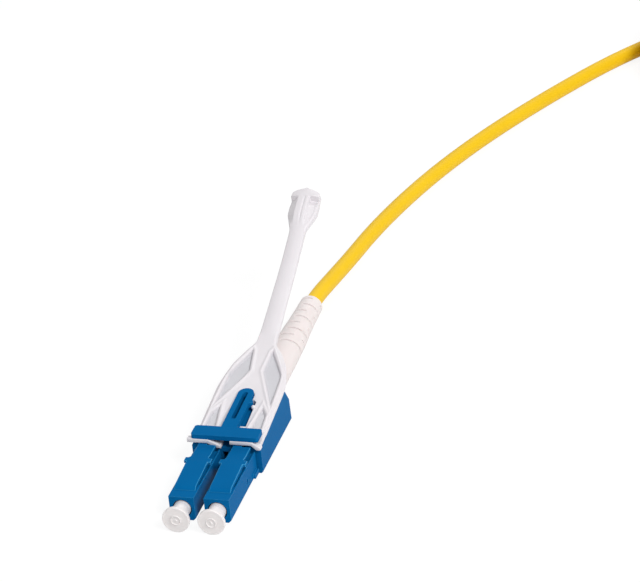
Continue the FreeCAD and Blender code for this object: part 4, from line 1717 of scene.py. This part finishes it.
@dataclass(frozen=True)
class FloorLook:
    """Size and look of the floor.

    Args:
        half: half its side, in metres.
        drop_mm: how far it lies below the object, so the two never flicker.
        colour: its grey in other bodies' light.
        roughness: of its surface.
        glow: its brightness where it is seen.
        glow_share: share of that brightness, the rest being its lit grey with the shadow.
    """

    half: float = 3.0
    drop_mm: float = 0.02
    colour: Colour = (0.86, 0.86, 0.86)
    roughness: float = 0.9
    glow: float = 1.05
    glow_share: float = 0.85


@dataclass
class Studio:
    """Camera, lamps, floor and backdrop.

    Args:
        spot: where the camera stands.
        lamps: the lamps.
        floor: the floor's size and look.
        ambient: strength of the light from all round.
    """

    spot: CameraSpot = CameraSpot()
    lamps: tuple[Lamp, ...] = (
        Lamp("key", (0.42, -0.30, 0.52), 4.0, 0.26),
        Lamp("fill", (-0.45, -0.35, 0.35), 0.35, 0.5),
        Lamp("back", (0.0, 0.45, 0.5), 0.9, 0.35),
    )
    floor: FloorLook = FloorLook()
    ambient: float = 0.35

    def build(self) -> None:
        """Sets up everything round the object."""
        self._camera()
        self._world()
        self._floor()
        for lamp in self.lamps:
            self._lamp(lamp)
        scene = bpy.context.scene
        scene.view_settings.view_transform = "Standard"
        log.info("studio: %d lamps, ambient %.2f", len(self.lamps), self.ambient)

    def _camera(self) -> None:
        """Stands the camera in its spot."""
        data = bpy.data.cameras.new("camera")
        data.sensor_width, data.lens = self.spot.sensor, self.spot.lens
        data.clip_start, data.clip_end = self.spot.clip
        camera = bpy.data.objects.new("camera", data)
        bpy.context.scene.collection.objects.link(camera)
        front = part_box("plug_body_left")[0].y
        aim = Vector(self.spot.aim) * MM + Vector((0, front, 0))
        a, e = math.radians(self.spot.azimuth), math.radians(self.spot.elevation)
        back = Vector((math.sin(a) * math.cos(e), -math.cos(a) * math.cos(e), math.sin(e)))
        camera.location = aim + back * (self.spot.distance * MM)
        roll = Matrix.Rotation(math.radians(self.spot.roll), 3, "Z").to_quaternion()
        camera.rotation_mode = "QUATERNION"
        camera.rotation_quaternion = (-back).to_track_quat("-Z", "Y") @ roll
        bpy.context.scene.camera = camera

    def _world(self) -> None:
        """Lights the object from all round, and looks white itself."""
        world = bpy.data.worlds.new("studio")
        bpy.context.scene.world = world
        world.use_nodes = True
        nodes, links = world.node_tree.nodes, world.node_tree.links
        soft = nodes["Background"]
        soft.inputs["Color"].default_value = (1.0, 1.0, 1.0, 1.0)
        soft.inputs["Strength"].default_value = self.ambient
        plain = nodes.new("ShaderNodeBackground")
        plain.inputs["Color"].default_value = (1.0, 1.0, 1.0, 1.0)
        mix = nodes.new("ShaderNodeMixShader")
        links.new(self._seen(nodes, links), mix.inputs["Fac"])
        links.new(soft.outputs["Background"], mix.inputs[1])
        links.new(plain.outputs["Background"], mix.inputs[2])
        links.new(mix.outputs["Shader"], nodes["World Output"].inputs["Surface"])

    @staticmethod
    def _seen(nodes: Nodes, links: Links) -> Socket:
        """Whether a ray comes from the camera, a reflection or a clear body.

        Args:
            nodes: nodes of the material or the world.
            links: their links.

        Returns:
            A socket that is 1 for such a ray.
        """
        path = nodes.new("ShaderNodeLightPath")
        total = path.outputs["Is Camera Ray"]
        for name in ("Is Glossy Ray", "Is Transmission Ray"):
            either = nodes.new("ShaderNodeMath")
            either.operation = "MAXIMUM"
            links.new(total, either.inputs[0])
            links.new(path.outputs[name], either.inputs[1])
            total = either.outputs["Value"]
        return total

    def _floor(self) -> None:
        """Lays a floor that looks white and keeps the object's faint shadow."""
        look, half = self.floor, self.floor.half
        mesh = bpy.data.meshes.new("floor")
        mesh.from_pydata([(-half, -half, 0), (half, -half, 0), (half, half, 0), (-half, half, 0)],
                         [], [(0, 1, 2, 3)])
        material = bpy.data.materials.new("floor")
        material.use_nodes = True
        nodes, links = material.node_tree.nodes, material.node_tree.links
        shader = nodes["Principled BSDF"]
        shader.inputs["Base Color"].default_value = (*look.colour, 1.0)
        shader.inputs["Roughness"].default_value = look.roughness
        bright = nodes.new("ShaderNodeEmission")
        bright.inputs["Strength"].default_value = look.glow
        share, mix = nodes.new("ShaderNodeMath"), nodes.new("ShaderNodeMixShader")
        share.operation = "MULTIPLY"
        share.inputs[1].default_value = look.glow_share
        links.new(self._seen(nodes, links), share.inputs[0])
        links.new(share.outputs["Value"], mix.inputs["Fac"])
        links.new(shader.outputs["BSDF"], mix.inputs[1])
        links.new(bright.outputs["Emission"], mix.inputs[2])
        links.new(mix.outputs["Shader"], nodes["Material Output"].inputs["Surface"])
        floor = new_piece("floor", mesh, material, soft=False)
        floor.location.z = -look.drop_mm * MM
        floor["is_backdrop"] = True

    @staticmethod
    def _lamp(lamp: Lamp) -> None:
        """Stands a lamp in its place, aimed at the connector.

        Args:
            lamp: the lamp.
        """
        light = bpy.data.lights.new(lamp.name, "AREA")
        light.energy, light.size = lamp.watts, lamp.size
        place = bpy.data.objects.new(lamp.name, light)
        place.location = lamp.place
        place.rotation_mode = "QUATERNION"
        place.rotation_quaternion = (-Vector(lamp.place)).to_track_quat("-Z", "Y")
        bpy.context.scene.collection.objects.link(place)


# ---------------------------------------------------------------- the whole scene
def corners() -> list[list[float]]:
    """Lowest and highest corner of what is shown.

    Returns:
        Two lists of three numbers, in metres.
    """
    return [list(corner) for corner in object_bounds()]


def main() -> None:
    """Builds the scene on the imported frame."""
    logging.basicConfig(level=logging.INFO, format="%(name)s: %(message)s")
    random.seed(7)
    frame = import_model()
    Studio().build()
    shop = FinishShop()
    CadDresser(frame, shop).dress()
    yarn = YarnMaker(shop).make("yarn_end")
    CableMaker(shop).make(yarn)
    caps = CapMaker(shop)
    for side in SIDES:
        caps.make("dust_cap_" + side, "cap_" + side)
    PullTabMaker(shop, Datum()).make()


if __name__ == "__main__":
    main()
